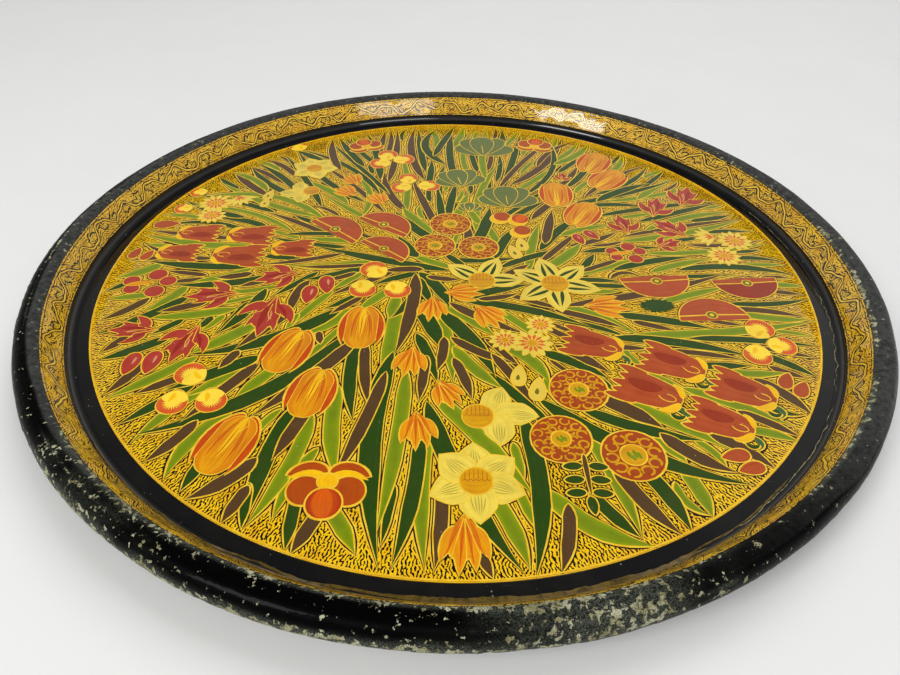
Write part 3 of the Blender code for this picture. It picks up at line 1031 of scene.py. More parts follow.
LIGHT_LEAVES = [
    (-84, -97, -99.5, -129, 5.2, -0.11), (-86, -44, -110, -65.5, 6, 0.03),
    (-45, -33, -68, -53, 6, 0.05), (-48, -44, -64, -71, 2.8, 0), (-27, -28, -30, -80, 6, 0.02),
    (-20, -72, -25, -148.5, 5.2, 0.02), (-10, -104, -9, -161, 5, -0.03),
    (-46, -82, -40.5, -128, 5.5, -0.05), (-54, -97, -67.5, -147, 5, 0.055),
    (-44, -136, -31, -156, 5, 0.03), (-9, -30, -1, -80, 5.4, 0.03),
    (-83, -69, -104.5, -90, 4.8, 0.03), (-72, -72, -85, -90, 5, 0),
    (-1, -58, 19, -82.5, 5.2, -0.05), (-9, -86, 27, -133, 6.2, 0.02),
    (11, -130, 23.5, -160, 5.2, 0.04), (31, -130, 64, -151.3, 6.5, -0.12),
    (49, -105, 60.3, -147.5, 4.8, 0.03), (80, -120, 85.3, -140.5, 5, 0.05),
    (72, -104, 82.5, -117.5, 4.6, 0.03), (56, -84, 101, -112, 5.6, 0.03),
    (68, -68, 95, -85, 5, 0.02), (20, -57, 37.5, -79, 5.5, 0.12), (-5, -30, 17, -51, 5.2, 0.03),
    (46, -28, 79.5, -48.5, 5, 0.05), (76, -48, 161, -36, 4.8, -0.035),
    (104, -69, 136, -70, 3.8, -0.05), (90, -80, 127, -99.5, 4.6, 0.02),
    (106, -101, 126.5, -107, 4, 0.06), (58, -18, 77, -17, 3.2, 0), (92, -26, 128, -12, 4, 0.02),
    (146, -9, 165, -10.3, 3.6, 0), (94, -1, 126, 11, 4, 0.03), (52, -7, 108, 12, 4.6, 0.04),
    (-92, 14, -160, 24, 5.5, 0.05), (-142, -2, -159, -13.5, 5.5, 0.05),
    (-98, -4, -124, -16, 4.2, 0.05), (-125, -18.5, -138.5, -38.5, 5, 0.08),
    (-98, -35, -136.5, -42.7, 5, 0.04), (-57, -21, -73, -49, 3.6, -0.03),
    (-45, -6, -57.5, -20, 3.4, 0), (-42, 4, -82, -1, 5, 0.07), (-106, -67, -134, -91.5, 5, 0.02),
    (-138, -26, -157.5, -30, 3.8, 0), (-2, -0.5, -24, 11, 4.2, 0.03),
    (-27, -24, -29.5, -40, 5, 0), (-30, -18, -44, -35, 4.4, 0), (44, 1, 64, 24, 5.6, -0.04),
    (35, -2, 44, 42, 4.6, 0.03), (21.5, 20, 15, 42, 4.2, 0), (-13, 30, -30, 56, 6, 0.03),
    (12, 40, 6, 56, 4, 0), (-50, 21, -78, 23, 4, 0), (-102, -40, -109, -51, 3.2, 0),
    (-70, -38, -73.5, -50, 2.6, 0),
]
BROWN_LEAVES = [
    (-96, -102, -109, -122, 4.6, 0.04), (-80, -70, -102, -103, 5, 0),
    (-90, -63, -95.5, -74, 4, 0), (-72, -34, -92, -62, 5, 0), (-59, -50, -57, -58, 3, 0),
    (-42, -54, -77, -100, 6, 0.03), (-38, -56, -33, -93, 4.2, -0.03),
    (-19.5, -6, -25.5, -64, 5.6, 0.04), (-28, -74, -42, -128, 4.6, 0.02),
    (-4.5, -128, -6, -161, 4.4, 0.03), (-55, -92, -64.5, -120, 5, 0),
    (-70, -119, -90, -137, 5.5, 0.07), (-70, -131, -75.5, -146, 4, 0),
    (-44, -140, -51, -156.5, 4.6, 0), (-5, -52, -7.5, -73, 4, 0.04), (-12, -64, -14, -90, 3.8, 0),
    (-2, -52, 24.5, -67.5, 4.2, -0.06), (15, -62, 31, -92, 4, 0.02),
    (-1, -65, 6.5, -88.5, 4, 0.03), (38, -136, 33, -161.5, 4.2, 0.05),
    (56, -118, 74, -147.5, 5.2, -0.06), (76, -104, 99, -121.5, 5.5, -0.07),
    (56, -86, 78, -101.5, 6.5, 0.02), (42, -56, 63, -72.5, 4.6, 0.03),
    (-3, -28, 30.5, -49, 4.6, -0.04), (78, -39, 96, -45, 3.2, 0), (62, -56, 82, -57, 3, 0),
    (88, -58, 120, -63, 3, 0.03), (120, -74, 136.5, -94, 4.8, 0.08),
    (108, -92, 128, -105, 3.6, 0.03), (94, -104, 113.5, -120, 4.8, 0.06),
    (48, -29, 132, -0.5, 4.8, -0.03), (60, -2, 84, 11, 3, 0), (144, -14, 162, -17, 3, 0),
    (122, -29, 157, -34, 3.6, 0.05), (112, -37.5, 127, -40.5, 2.4, 0),
    (-118, -10.5, -138.5, -7.5, 3, 0), (-97, -8, -114, -12, 4, 0.05),
    (-139, -28.5, -155, -45, 4.2, 0.06), (-112, -30, -132, -38.5, 4.4, 0.03),
    (-69, -13, -73, -39.5, 4.4, -0.1), (-56, 10, -95, -1, 3, 0.03),
    (-138, -52, -146.5, -66, 4, 0.03), (-125, -67, -136, -90, 4.4, 0.04),
    (-107, -78, -124, -89, 4, 0), (-16, -2.5, -36, -4.5, 4.2, -0.04),
    (-42, 1, -78, -2, 2.8, 0.03), (-48, -6, -62, -13, 3, 0.04), (-43, -25, -56, -38, 3.2, 0),
    (10, -25, 29, -20, 3.2, -0.05), (44, -32, 74, -44, 3.8, 0.03), (21, -8, 36, 4, 3.8, 0),
    (41, 5, 64, 35, 3.4, 0), (45, 22, 52, 56, 4.8, 0), (-14, -8, 2, -10, 3.4, -0.05),
    (6, 14, 6, 40, 4.4, 0), (-88, -13, -101, -19, 3.2, 0), (7, -152, 12, -163.5, 3.2, 0),
]


def draw_flowers(painter):
    """Every flower in FLOWERS, each kind after the one before."""
    for draw, places in FLOWERS:
        for x, y, heading, size in places:
            draw(Flower(painter, (x, y), heading, size))


LEAF_ENDS = (0.8, 1.3)
LEAF_BLOCK = 1.3
LEAF_STEPS = 14
GILT_EDGE, INK_EDGE, OUTER_EDGE = 0.5, 0.95, 1.45  # how far a leaf's three edges reach beyond it

# how often grow_leaves tries a leaf that ends at the panel's edge, a long one and a short one
EDGE_TRIES, LONG_TRIES, SHORT_TRIES = 5000, 15000, 16000
LEAF_PAINTS = {"leaf_dark": 0.44, "leaf_light": 0.3, "leaf_brown": 0.26}  # and how many of each
GROWN_RADIUS = 164  # where the tips of the long and short leaves may be
LONG_LEAF, SHORT_LEAF = 84, 40  # the most that a grown leaf may measure
HEART_RADIUS = 20  # no grown leaf ends nearer than this to where it fans out from
LEAF_CLEARS = 1.2  # how far round a leaf the ground counts as taken
FLOWER_CLEARS = 0.38  # and round a flower's middle, as a part of its size
MOST_TAKEN = 0.42  # the share of a new leaf's ground that may be taken already


def leaf_sides(leaf, more=0.0):
    """The two sides of a leaf, moved out by more."""
    x1, y1, x2, y2, width, bow = leaf[:6]
    form = (x1, y1), (x2, y2), width, LEAF_ENDS, bow, LEAF_STEPS, LEAF_BLOCK
    return petal_sides(*form, more=more)


def grow_leaves(painter, random):
    """All leaves, from the lowest to the highest: (x1, y1, x2, y2, width, bow, paint)."""
    taken = np.zeros(painter.layer.shape, bool)

    def take(outline):
        window, inside = painter.cells(outline)
        taken[window] |= inside

    for _, places in FLOWERS:
        for x, y, _, size in places:
            take(np.array([x, y]) + FLOWER_CLEARS * size * circle(around(12)))
    placed = [(*leaf, "leaf_light") for leaf in LIGHT_LEAVES]
    placed += [(*leaf, "leaf_dark") for leaf in DARK_LEAVES]
    placed += [(*leaf, "leaf_brown") for leaf in BROWN_LEAVES]
    for leaf in placed:
        take(joined(*leaf_sides(leaf, LEAF_CLEARS)))
    grown = []
    for attempt in range(EDGE_TRIES + LONG_TRIES + SHORT_TRIES):
        away = GROWN_RADIUS * random.random() ** 0.5
        if attempt < EDGE_TRIES:
            away = PANEL_RADIUS - random.uniform(2, 7)
        tip = away * spin(random.uniform(0, 2 * pi))
        # it points away from a place near HEART, not the same one for each leaf
        out = tip - HEART * random.uniform(0.5, 1.4)
        reach = np.hypot(*out)
        if reach < HEART_RADIUS:
            continue
        longest = LONG_LEAF if attempt < EDGE_TRIES + LONG_TRIES else SHORT_LEAF
        length = min(random.uniform(0.36 * longest, longest), reach * 0.8)
        base = tip - length * spin(atan2(out[1], out[0]) + random.normal(0, 0.13))
        width = random.uniform(3.0, 4.8) * min(1, length / 36) ** 0.5
        bow = random.normal(0, 0.09)
        paint_name = random.choice(list(LEAF_PAINTS), p=list(LEAF_PAINTS.values()))
        leaf = (*base, *tip, width, bow, paint_name)
        middle = base + np.linspace(0.1, 0.95, 12)[:, None] * (tip - base)
        i, j = ((middle - painter.low) / CELL).astype(int).T
        if taken[i, j].sum() > MOST_TAKEN * len(middle):
            continue
        outline = joined(*leaf_sides(leaf, 1.0))
        if np.hypot(*outline.T).max() > PANEL_RADIUS - 0.3:
            continue
        window, inside = painter.cells(outline)
        if (taken[window] & inside).sum() > MOST_TAKEN * inside.sum():
            continue
        take(joined(*leaf_sides(leaf, LEAF_CLEARS)))
        grown.append(leaf)
    return grown[::-1] + placed


def draw_leaves(painter, leaves):
    """Gold and black edges first, so that they only show on the ground, then each leaf in turn."""
    for k, leaf in enumerate(leaves):
        lifted = 0.06 * (k % 4)  # so that few edges that cross are level
        edges = ("gold_line", OUTER_EDGE, 0.3), ("ink_line", INK_EDGE, 0.7)
        for paint_name, more, layer in edges:
            left, right = leaf_sides(leaf, more)
            if np.hypot(*right.T).max() < PANEL_RADIUS - 0.4:
                painter.strip(paint_name, left, right, -STEP, STEP * (layer + lifted))
    for x1, y1, x2, y2, width, bow, paint_name in leaves:
        painter.petal(paint_name, (x1, y1), (x2, y2), width, LEAF_ENDS, bow, rim=GILT_EDGE,
                      steps=LEAF_STEPS, block=LEAF_BLOCK)


def on_panel(points):
    """Panel coordinates to the tray; paint that would hang over the panel's edge ends on it."""
    radius = np.hypot(points[:, 0], points[:, 1])
    inside = np.minimum(1, (PANEL_RADIUS - 0.1) / np.maximum(radius, 1))[:, None]
    return points * np.hstack([inside, inside, np.ones_like(inside)]) + np.array([0, 0, PANEL_TOP])


# ---------------------------------------------------------------- the rim's surface

def rim_section():
    """The rim's inner face from the floor's edge to the crest, as (radius, height)."""
    foot = (FLOOR_RADIUS + 0.3, BORDER_FOOT[1])
    hollow = arc(foot, BORDER_FOOT[0] - foot[0], BORDER_FOOT[1] - FLOOR_TOP, -90, 0, 10)
    head = [BORDER_HEAD, (180.2, CREST - 1.05), (181.1, CREST - 0.55),
            (WALL_RADIUS - 0.3, CREST - 0.5)]
    return np.array([(PANEL_RADIUS, FLOOR_TOP), (FLOOR_RADIUS, FLOOR_TOP)] + hollow + head)


RIM = rim_section()
RIM_RUN = distances(RIM)
BORDER_START = float(RIM_RUN[np.argmin(np.hypot(*(RIM - BORDER_FOOT).T))])
BORDER_END = float(RIM_RUN[np.argmin(np.hypot(*(RIM - BORDER_HEAD).T))])
BORDER_RADIUS = 176.0  # at its middle
RIM_ROUND = 2 * pi * BORDER_RADIUS


def rim_at(up):
    """The radius and the height of the rim's face at distances up it."""
    return np.interp(up, RIM_RUN, RIM[:, 0]), np.interp(up, RIM_RUN, RIM[:, 1])


def on_rim(points):
    """(distance round the rim, distance up its face from the panel, height) to the tray."""
    points = np.asarray(points, float)
    angle = points[:, 0] / RIM_ROUND * 2 * pi
    radius, height = rim_at(points[:, 1])
    ahead, back = rim_at(points[:, 1] + 0.3), rim_at(points[:, 1] - 0.3)
    run, rise = ahead[0] - back[0], ahead[1] - back[1]
    slope = np.hypot(run, rise)
    radius = radius - points[:, 2] * rise / slope
    height = height + points[:, 2] * run / slope
    placed = np.stack([np.cos(angle) * radius, np.sin(angle) * radius, height], 1)
    return uneven(placed)


VINE_PIECES, PIECE_STEPS = 104, 8  # how many pieces the scroll has, and points to a piece
STEM_INK, STEM_GOLD, VEIN_LINE, EDGE_LINE = 1.75, 0.75, 0.26, 0.32  # widths of its lines
LEAF_STARTS = (0.2, 1.2, 2.2)  # each bend's leaves lean by these and up to LEAF_SPREAD more
LEAF_SPREAD = 0.6  # radians


def border_vine(painter, random):
    """The scroll: a gold stem between black lines, with black-edged leaves in its bends."""
    low, high = BORDER_START, BORDER_END
    middle = (low + high) / 2
    s = np.linspace(0, RIM_ROUND, VINE_PIECES * PIECE_STEPS, endpoint=False)
    turn = [count * s / RIM_ROUND * 2 * pi + phase for count, _, phase in SWAYS]
    sway = sum(size * np.sin(angle) for (_, size, _), angle in zip(SWAYS, turn))
    stem = np.column_stack([s, np.clip(middle + SWAY * sway, low + 1.6, high - 1.6)])
    starts = range(0, len(stem), PIECE_STEPS)
    within = [-1e9, low + 0.9], [1e9, high - 0.9]
    for start in starts:
        bend = stem[start + PIECE_STEPS // 2]
        side = 1 if bend[1] < middle else -1
        root = bend + [0, side * 1.0]
        leans = [random.uniform(least, least + LEAF_SPREAD) for least in LEAF_STARTS]
        for lean in leans:
            tip = root + np.array([cos(lean), side * sin(lean)]) * random.uniform(3.0, 5.4)
            form = (root, tip, 1.5, (0.6, 0.9), random.uniform(-0.3, 0.3), 7)
            edge = [np.clip(line, *within) for line in petal_sides(*form, more=0.5)]
            painter.strip("ink_line", *edge, painter.lift - STEP, painter.lift + STEP * 0.4)
            left, right = [np.clip(line, *within) for line in petal_sides(*form)]
            painter.strip("gold_line", left, right, painter.lift - STEP, painter.lift + STEP)
            vein = (left * 0.55 + right * 0.45)[1:-1]
            painter.line("ink_line", vein, VEIN_LINE, wobble=0.5, over=1.3)
    for start in starts:
        piece = stem[start:start + PIECE_STEPS + 1]
        painter.line("ink_line", piece, STEM_INK, wobble=0.3, over=1.6)
        painter.line("gold_line", piece, STEM_GOLD, wobble=0.4, over=2.0)
    for edge in (low + 0.8, high - 0.8):
        for start in starts:
            reach = RIM_ROUND / VINE_PIECES * random.uniform(0.85, 1.02)
            spots = np.linspace(s[start], s[start] + reach, 7)
            places = np.column_stack([spots, np.full(len(spots), edge)])
            painter.line("ink_line", places, EDGE_LINE, wobble=0.5)


# Gold that ran or was rubbed on the black ring, and cracks in it: from and to which way in
# degrees, how far up the rim from the panel's edge, how much that wanders, and the width.
SMEARS = [
    (-127, -90, 6.2, 1.6, 0.9), (-97, -62, 5.6, 1.3, 2.0), (-80, -52, 7.6, 0.7, 1.2),
    (-140, -112, 7.8, 0.5, 0.7), (-66, -46, 5.0, 0.9, 0.5),
]
CRACKS = [(-60, -31, 5.6, 0.7, 0.2), (-28, -3, 5.4, 0.8, 0.2), (4, 22, 5.6, 0.5, 0.14)]


def smears(painter):
    """The marks of SMEARS and CRACKS, with wandering middles and rough edges."""
    for paint_name, marks, rough in (("smear", SMEARS, 0.2), ("chalk", CRACKS, 0.9)):
        for k, (start, end, foot, wander, width) in enumerate(marks):
            turn = np.linspace(start, end, (end - start) * 5)
            s = turn / 360 * RIM_ROUND
            places = np.column_stack([s, np.full(len(s), 3.0 * k)])
            middle = foot + wander * (0.7 * noise(places, 19, 51) + rough * noise(places, 4, 52))
            ends = np.minimum(1, np.minimum(turn - start, end - turn) / 3 + 0.05)
            uneven_width = 1 + 0.4 * noise(places, 7, 53) + rough * noise(places, 1.4, 54)
            half = np.maximum(width / 2 * ends * uneven_width, 0.02)
            left, right = [np.column_stack([s, middle + way * half]) for way in (1, -1)]
            painter.strip(paint_name, left, right, -STEP, STEP * 0.6)


# ---------------------------------------------------------------- the body

def make_body(materials):
    """The six pieces of the tray, without the paint."""
    edge, under = FLOOR_RADIUS + 0.2, LINING_TOP + 0.1
    turned_disc("lacquered_floor", [
        (0, FLOOR_TOP), (60, FLOOR_TOP), (120, FLOOR_TOP), (163, FLOOR_TOP),
        (edge, FLOOR_TOP), (edge, under), (0, under),
    ], DISC_SEGMENTS, materials["lacquer"], "floor_board")
    turned_disc("gilded_panel", [
        (0, PANEL_TOP), (60, PANEL_TOP), (120, PANEL_TOP), (PANEL_RADIUS - 0.4, PANEL_TOP),
        (PANEL_RADIUS, PANEL_TOP - 0.2), (PANEL_RADIUS, FLOOR_TOP + 0.1), (0, FLOOR_TOP + 0.1),
    ], PANEL_SEGMENTS, materials["gold_ground"], "medallion_leaf")
    turned_disc("underside_lining", [
        (0, LINING_TOP), (FOOT_RADIUS - 2, LINING_TOP), (FOOT_RADIUS, LINING_TOP - 0.1),
        (FOOT_RADIUS, 0.3), (FOOT_RADIUS - 0.8, 0.0), (FOOT_RADIUS - 30, 0.0), (0, 0.0),
    ], DISC_SEGMENTS, materials["underside"], "base_lining")
    corners = [(WALL_RADIUS, CREST - 0.6), (WALL_RADIUS, LIP_BOTTOM), (FOOT_RADIUS + 0.4, 1.4)]
    bottom = [(FOOT_RADIUS - 0.3, under), (FLOOR_RADIUS + 0.3, under)]
    wall = np.concatenate([along(corners, 1.0), bottom, along(RIM[1:] + [0.3, 0], 0.6)])
    new_mesh("rim_wall_lacquer", uneven(turned_points(wall, WALL_SEGMENTS)),
             ring_faces(WALL_SEGMENTS, len(wall)), materials["lacquer"],
             smooth=SHARP, replaces="rim_wall")
    make_border(materials)
    make_lip(materials)


def make_border(materials):
    """The gilded strip on the flare of the wall, its edges a little uneven."""
    s = np.linspace(0, RIM_ROUND, BORDER_SEGMENTS, endpoint=False)
    rows = []
    for place, height, seed in (
        (BORDER_END, 0.07, 21), (BORDER_END - 0.2, 0.1, 21), (BORDER_START + 0.2, 0.1, 22),
        (BORDER_START, 0.07, 22), (BORDER_START, -0.1, 22), (BORDER_END, -0.1, 21),
    ):
        up = place + 0.12 * ring_noise(s / RIM_ROUND * 2 * pi, 160, seed)
        rows.append(on_rim(np.column_stack([s, up, np.full(BORDER_SEGMENTS, height)])))
    points = np.stack(rows, 1).reshape(-1, 3)
    new_mesh("gilded_border", points, ring_faces(BORDER_SEGMENTS, len(rows))[:, ::-1],
             materials["border_gold"], smooth=SHARP, replaces="border_band")


def lip_wear(points, angle, run, total):
    """How worn the lacquer is at each point, 0 whole to about 0.6 mostly bare.

    run is how far the point is from the lip's inner edge, and total how far its last one is.
    """
    turn = np.degrees(angle)
    near, right = hump(turn, -107, 36), hump(turn, -15, 50)
    left = hump(np.abs(turn), 180, 35)
    gripped = hump(turn, -76, 13)  # where a thumb has held it
    crest = hump(run, 0.8, 1.5)
    edge = hump(run, 0.5 * total, 0.9)  # where the flat top turns down
    seam = hump(run, 0.27 * total, 0.6)  # where the grey top, worn and with painted sheen, ends on the left
    outer = smoothstep(0.47 * total, 0.7 * total, run)
    rolled = smoothstep(0.62 * total, 0.72 * total, run)  # the outside of the roll
    some_crest, some_edge = [smoothstep(-0.05, 0.3, ring_noise(angle, bumps, seed))
                             for bumps, seed in ((44, 17), (50, 18))]
    density = 0.02 + near * (0.3 * crest + 0.4 * outer) + 0.04 * outer
    density += gripped * (0.32 - 0.22 * outer)
    density += 0.17 * hump(turn, -130, 15)  # and a second hold on the left
    density += right * (0.5 * crest * some_crest + 0.16 * rolled + 0.4 * edge * some_edge)
    density += left * (0.1 * crest + 0.14 * outer + 0.5 * edge + 0.34 * seam + 0.26 * rolled)
    patches = 0.5 * noise(points, 9.0, 33) + 0.5 * ring_noise(angle, 30, 12)
    return np.clip(density * (1 + 0.9 * patches), 0, 0.62)


def lip_profile():
    """The lip's section, and how many of its points lie on the face that shows."""
    # its inner edge lies over the top of the wall and ends at the border
    top = [(179.2, 19.55), (180.1, CREST - 0.62), (181.0, CREST - 0.14), (181.8, CREST),
           (LIP_FLAT_RADIUS, CREST)]
    upper = arc((LIP_FLAT_RADIUS, LIP_WIDEST), TRAY_RADIUS - LIP_FLAT_RADIUS,
                CREST - LIP_WIDEST, 90, 0, 30)
    lower = arc((LIP_HOLLOW_RADIUS, LIP_WIDEST), TRAY_RADIUS - LIP_HOLLOW_RADIUS,
                LIP_WIDEST - LIP_BOTTOM, 0, -90, 30)
    shown = along(top + upper + lower[1:], 0.5)
    inner = WALL_RADIUS + 0.05
    seam = [(inner, CREST - 0.42), (181.1, CREST - 0.47), (180.2, CREST - 0.97)]
    back = along([lower[-1], (inner, LIP_BOTTOM + 0.4), seam[0]], 3.0)[1:]
    return np.concatenate([shown, back, seam[1:]]), len(shown)


CHIP_DEPTH, RIPPLE, PITTING = 0.14, 0.05, 0.03  # how far the lip's surface moves in and out


def make_lip(materials):
    """The rolled lip, pitted where its lacquer is worn, with the wear kept for the material."""
    profile, shown = lip_profile()
    points = turned_points(profile, LIP_SEGMENTS)
    run = distances(profile)
    total = run[shown - 1]
    normal = left_of(np.roll(profile, -1, 0) - np.roll(profile, 1, 0))
    angle = np.arctan2(points[:, 1], points[:, 0])

    def all_round(values):
        """Values for the points of the section, given to those of every section."""
        return np.tile(values, LIP_SEGMENTS)

    wear = lip_wear(points, angle, all_round(run), total)
    wear *= all_round(smoothstep(total + 0.5, total - 1.0, run))
    chips = smoothstep(0.3, 0.6, wear + 0.35 * noise(points, 2.4, 31))
    depth = CHIP_DEPTH * chips
    depth = depth + RIPPLE * noise(points, 3.2, 34) + PITTING * noise(points, 1.2, 35)
    depth = np.where(all_round(np.arange(len(profile)) < shown), depth, 0)
    out, up = all_round(normal[:, 0]) * depth, all_round(normal[:, 1]) * depth
    points[:, 0] += np.cos(angle) * out
    points[:, 1] += np.sin(angle) * out
    points[:, 2] += up
    piece = new_mesh("rolled_lip", uneven(points), ring_faces(LIP_SEGMENTS, len(profile)),
                     materials["lip"], smooth=60, replaces="lip_bead")
    # painted sheen and scouring grey the top, over its whole width on the right and far sides
    turn = np.degrees(angle)
    width = 0.26 + 0.36 * hump(turn, 15, 65) - 0.14 * hump(turn, -130, 30)
    width += 0.04 * ring_noise(angle, 70, 15)
    scoured_and_sheen = smoothstep(width + 0.03, width - 0.03, all_round(run / total))
    # the painted sheen fades out towards the viewer's side
    scoured_and_sheen *= smoothstep(-195, -110, points[:, 1] - 20)
    for name, values in (("wear", wear), ("scoured_and_sheen", scoured_and_sheen)):
        layer = piece.data.attributes.new(name, "FLOAT", "POINT")
        layer.data.foreach_set("value", values.astype(np.float32))


# ---------------------------------------------------------------- all of the tray

# Brush paints, in tones: the colour, a second colour in streaks, how much of it there is, and
# the colour along the sides of the stroke.
PAINTS = {
    "leaf_dark": ((44, 70, 22), (58, 84, 26)),
    "leaf_light": ((126, 142, 8), (98, 122, 12), 0.6, (134, 150, 16)),
    "leaf_brown": ((84, 61, 38), (100, 74, 46)),
    "tulip_yellow": ((248, 202, 14), (236, 162, 10), 0.7),
    "trumpet_red": ((204, 96, 16), (222, 124, 16), 0.7, (228, 146, 20)),
    "tulip_orange": ((218, 124, 12), (236, 168, 18), 0.9),
    "tulip_body": ((236, 176, 8), (212, 124, 4), 1.0, (214, 128, 8)),
    "tulip_flame": ((208, 118, 4), (196, 96, 6), 0.8, (230, 160, 10)),
    "tulip_red": ((192, 70, 18), (206, 100, 26), 0.4),
    "pansy_brown": ((176, 76, 20), (154, 60, 16), 0.4),
    "pansy_orange": ((218, 98, 6), (196, 66, 6), 0.5, (178, 56, 6)),
    "pale_yellow": ((242, 214, 84), (214, 186, 70), 0.7),
    "daffodil_shade": ((178, 162, 66), (196, 176, 74)),
    "cup_yellow": ((220, 162, 8), (198, 132, 8), 0.6),
    "rosette_red": ((164, 70, 30), (144, 54, 22)),
    "poppy_red": ((170, 72, 38), (184, 90, 48), 0.5),
    "bell_red": ((164, 66, 32), (184, 86, 42), 0.7),
    "crimson": ((168, 54, 44), (184, 74, 58), 0.5),
    "crimson_dark": ((146, 38, 32), (160, 52, 42), 0.5),
    "bell_shade": ((144, 48, 26), (158, 60, 30), 0.6),
    "rose": ((218, 142, 104), (204, 122, 88)),
    "ball_yellow": ((250, 216, 62), (244, 196, 74), 0.4),
    "ball_red": ((208, 84, 40), (220, 112, 48), 0.5),
    "leaf_teal": ((58, 98, 52), (78, 116, 60)),
    "poppy_dark": ((146, 50, 30), (156, 62, 36), 0.5),
    "olive": ((112, 108, 28), (130, 124, 34)),
    "daisy_red": ((216, 100, 42), (228, 132, 58), 0.4),
    "pale_gold": ((230, 194, 66), (216, 190, 90), 0.5),
    "teal": ((102, 114, 56), (118, 128, 66)),
}


def make_materials():
    materials = {
        "gold_ground": gold("gold ground", (252, 206, 26), (236, 176, 16), 0.12,
                            inked=panel_scrawl),
        "gold_line": gold("gold line", (250, 208, 62), (232, 178, 36), 0.12, 4.0),
        "border_gold": gold("border gold", (244, 198, 52), (222, 164, 30), 0.15,
                            inked=border_scrawl),
        "smear": gold("rubbed gold", (126, 102, 44), (62, 52, 26), 0.2, 3.0),
        "chalk": gold("chalk in a crack", (168, 160, 116), (92, 88, 60), 0.0, 2.0),
        "ink_line": ink("ink", (0.010, 0.007, 0.004)),
        "cup_brown": ink("brown ink", tone(168, 84, 10)),
        "lacquer": lacquer("black lacquer", 1.0),
        "underside": lacquer("underside lacquer", 0.4),
        "lip": chipped_lacquer("chipped lacquer"),
    }
    for name, look in PAINTS.items():
        materials[name] = paint(name.replace("_", " "), *look)
    return materials


def paint_panel(materials, random):
    """Leaves, then the flowers on them, and a gold line round the panel."""
    size = PANEL_RADIUS + 2
    painter = Painter((-size, -size), (size, size), on_panel)
    draw_leaves(painter, grow_leaves(painter, random))
    draw_flowers(painter)
    angle = around(PANEL_SEGMENTS)
    away = PANEL_RADIUS - 0.45 + 0.12 * ring_noise(angle, 150, 14)
    edge = away[:, None] * circle(angle)
    painter.line("gold_line", edge, 0.46, closed=True, wobble=0.12, over=1.4)
    painter.finish("panel", materials)


def paint_border(materials, random):
    """The border's scroll, and the marks on the black ring below it."""
    painter = Painter((0, 0), (RIM_ROUND, RIM_RUN[-1]), on_rim, lift=0.1)
    border_vine(painter, random)
    smears(painter)
    painter.finish("border", materials)


# ---------------------------------------------------------------- the studio

CAMERA_AT = (-2.5, -271.7, 197.0)
CAMERA_DOWN = 40.94  # degrees below level
CAMERA_ROLL = 1.08  # degrees
LENS = 27.2  # for the default 36 mm sensor
TABLE_RADIUS = 1900

# The room is pale behind the viewer and along the far wall, and dark high above the far wall,
# more so on the left. ROOM gives brightness along ROOM_AXIS.
ROOM_AXIS = (-0.144, 0.32, 0.8)
ROOM = ((0.0, 0.30), (0.20, 0.35), (0.40, 0.60), (0.55, 0.50), (0.62, 0.36), (0.70, 0.27),
        (0.76, 0.14), (0.86, 0.08), (1.0, 0.08))


def make_studio():
    """The camera, the table and the light, as in the photograph."""
    make_camera()
    make_table()
    make_room()
    lamp("ceiling", (330, 640, 1500), (120, 200, 0), 1.2, 12.0, glossy=False)
    lamp("window", (-726, -713, 937), (74, 160, 15), 0.46, 7.0)
    lamp("second_window", (420, -870, 950), (-46, 170, 15), 0.52, 3.8)
    lamp("front_fill", (0, -1300, 500), (0, -100, 0), 0.8, 0.3, glossy=False)
    bpy.context.scene.view_settings.view_transform = "Standard"


def put_at(piece, at, turn):
    """Links a camera or lamp, at a place in millimetres."""
    piece.matrix_world = Matrix.Translation([value * MM for value in at]) @ turn
    bpy.context.scene.collection.objects.link(piece)


def make_camera():
    camera = bpy.data.objects.new("camera", bpy.data.cameras.new("camera"))
    camera.data.lens = LENS
    camera.data.clip_start = 0.01
    tilt = Matrix.Rotation(radians(90 - CAMERA_DOWN), 4, "X")
    put_at(camera, CAMERA_AT, tilt @ Matrix.Rotation(radians(CAMERA_ROLL), 4, "Z"))
    bpy.context.scene.camera = camera


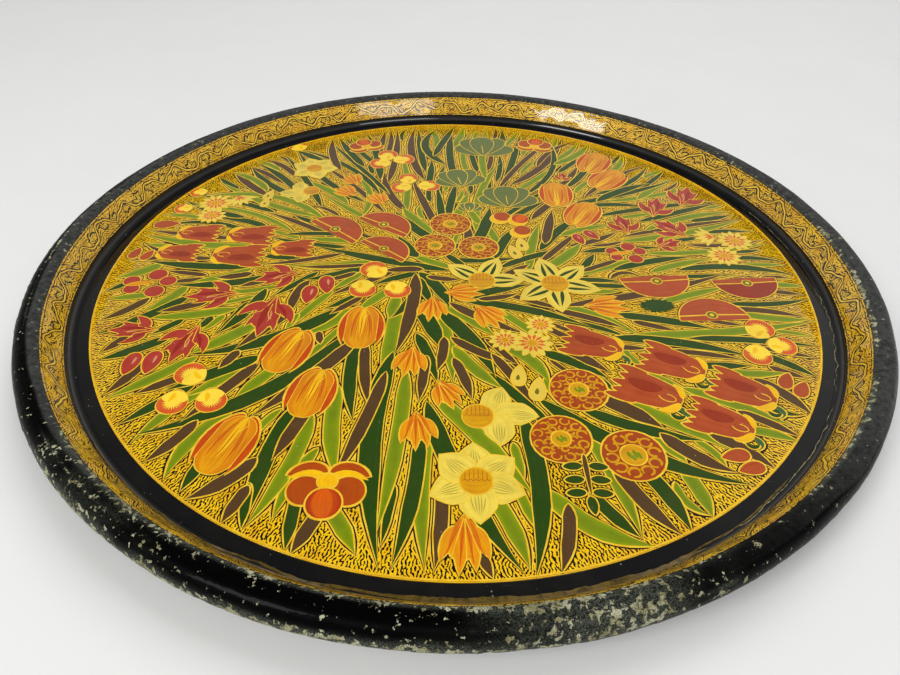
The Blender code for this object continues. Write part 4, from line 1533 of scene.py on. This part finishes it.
def make_table():
    points = [(x, y, 0) for x, y in TABLE_RADIUS * MM * circle(around(72))]
    mesh = bpy.data.meshes.new("table")
    mesh.from_pydata(points, [], [tuple(range(len(points)))])
    table = bpy.data.objects.new("table", mesh)
    bpy.context.scene.collection.objects.link(table)
    shade = Shade("table")
    cloud = shade.noise(shade.place(), 60, 3)
    shade.set(Base_Color=shade.mix(cloud, (0.80, 0.80, 0.79), (0.84, 0.84, 0.83)), Roughness=0.55)
    mesh.materials.append(shade.material)


def make_room():
    """The room that the lacquer mirrors, by direction: see ROOM."""
    world = bpy.data.worlds.new("room")
    bpy.context.scene.world = world
    world.use_nodes = True
    tree = world.node_tree
    way = tree.nodes.new("ShaderNodeTexCoord").outputs["Generated"]
    lean = tree.nodes.new("ShaderNodeVectorMath")
    lean.operation = "DOT_PRODUCT"
    tree.links.new(way, lean.inputs[0])
    lean.inputs[1].default_value = ROOM_AXIS
    ramp = tree.nodes.new("ShaderNodeValToRGB")
    tree.links.new(lean.outputs["Value"], ramp.inputs[0])
    while len(ramp.color_ramp.elements) < len(ROOM):
        ramp.color_ramp.elements.new(1)
    for element, (height, bright) in zip(ramp.color_ramp.elements, ROOM):
        element.position = height
        element.color = (bright, bright, bright * 0.98, 1)
    tree.links.new(ramp.outputs[0], tree.nodes["Background"].inputs[0])
    tree.nodes["Background"].inputs[1].default_value = 1.0


def lamp(name, at, towards, size, power, glossy=True):
    """A square lamp that faces a place. Without glossy the lacquer doesn't mirror it."""
    light = bpy.data.lights.new(name, "AREA")
    light.size = size
    light.energy = power
    piece = bpy.data.objects.new(name, light)
    piece.visible_glossy = glossy
    x, y, z = np.array(at, float) - np.array(towards, float)
    tilt = Matrix.Rotation(atan2(hypot(x, y), z), 4, "X").inverted()
    put_at(piece, at, Matrix.Rotation(atan2(y, x) - pi / 2, 4, "Z") @ tilt)


def main():
    materials = make_materials()
    random = np.random.default_rng(SEED)
    make_body(materials)
    paint_panel(materials, random)
    paint_border(materials, random)
    make_studio()


main()
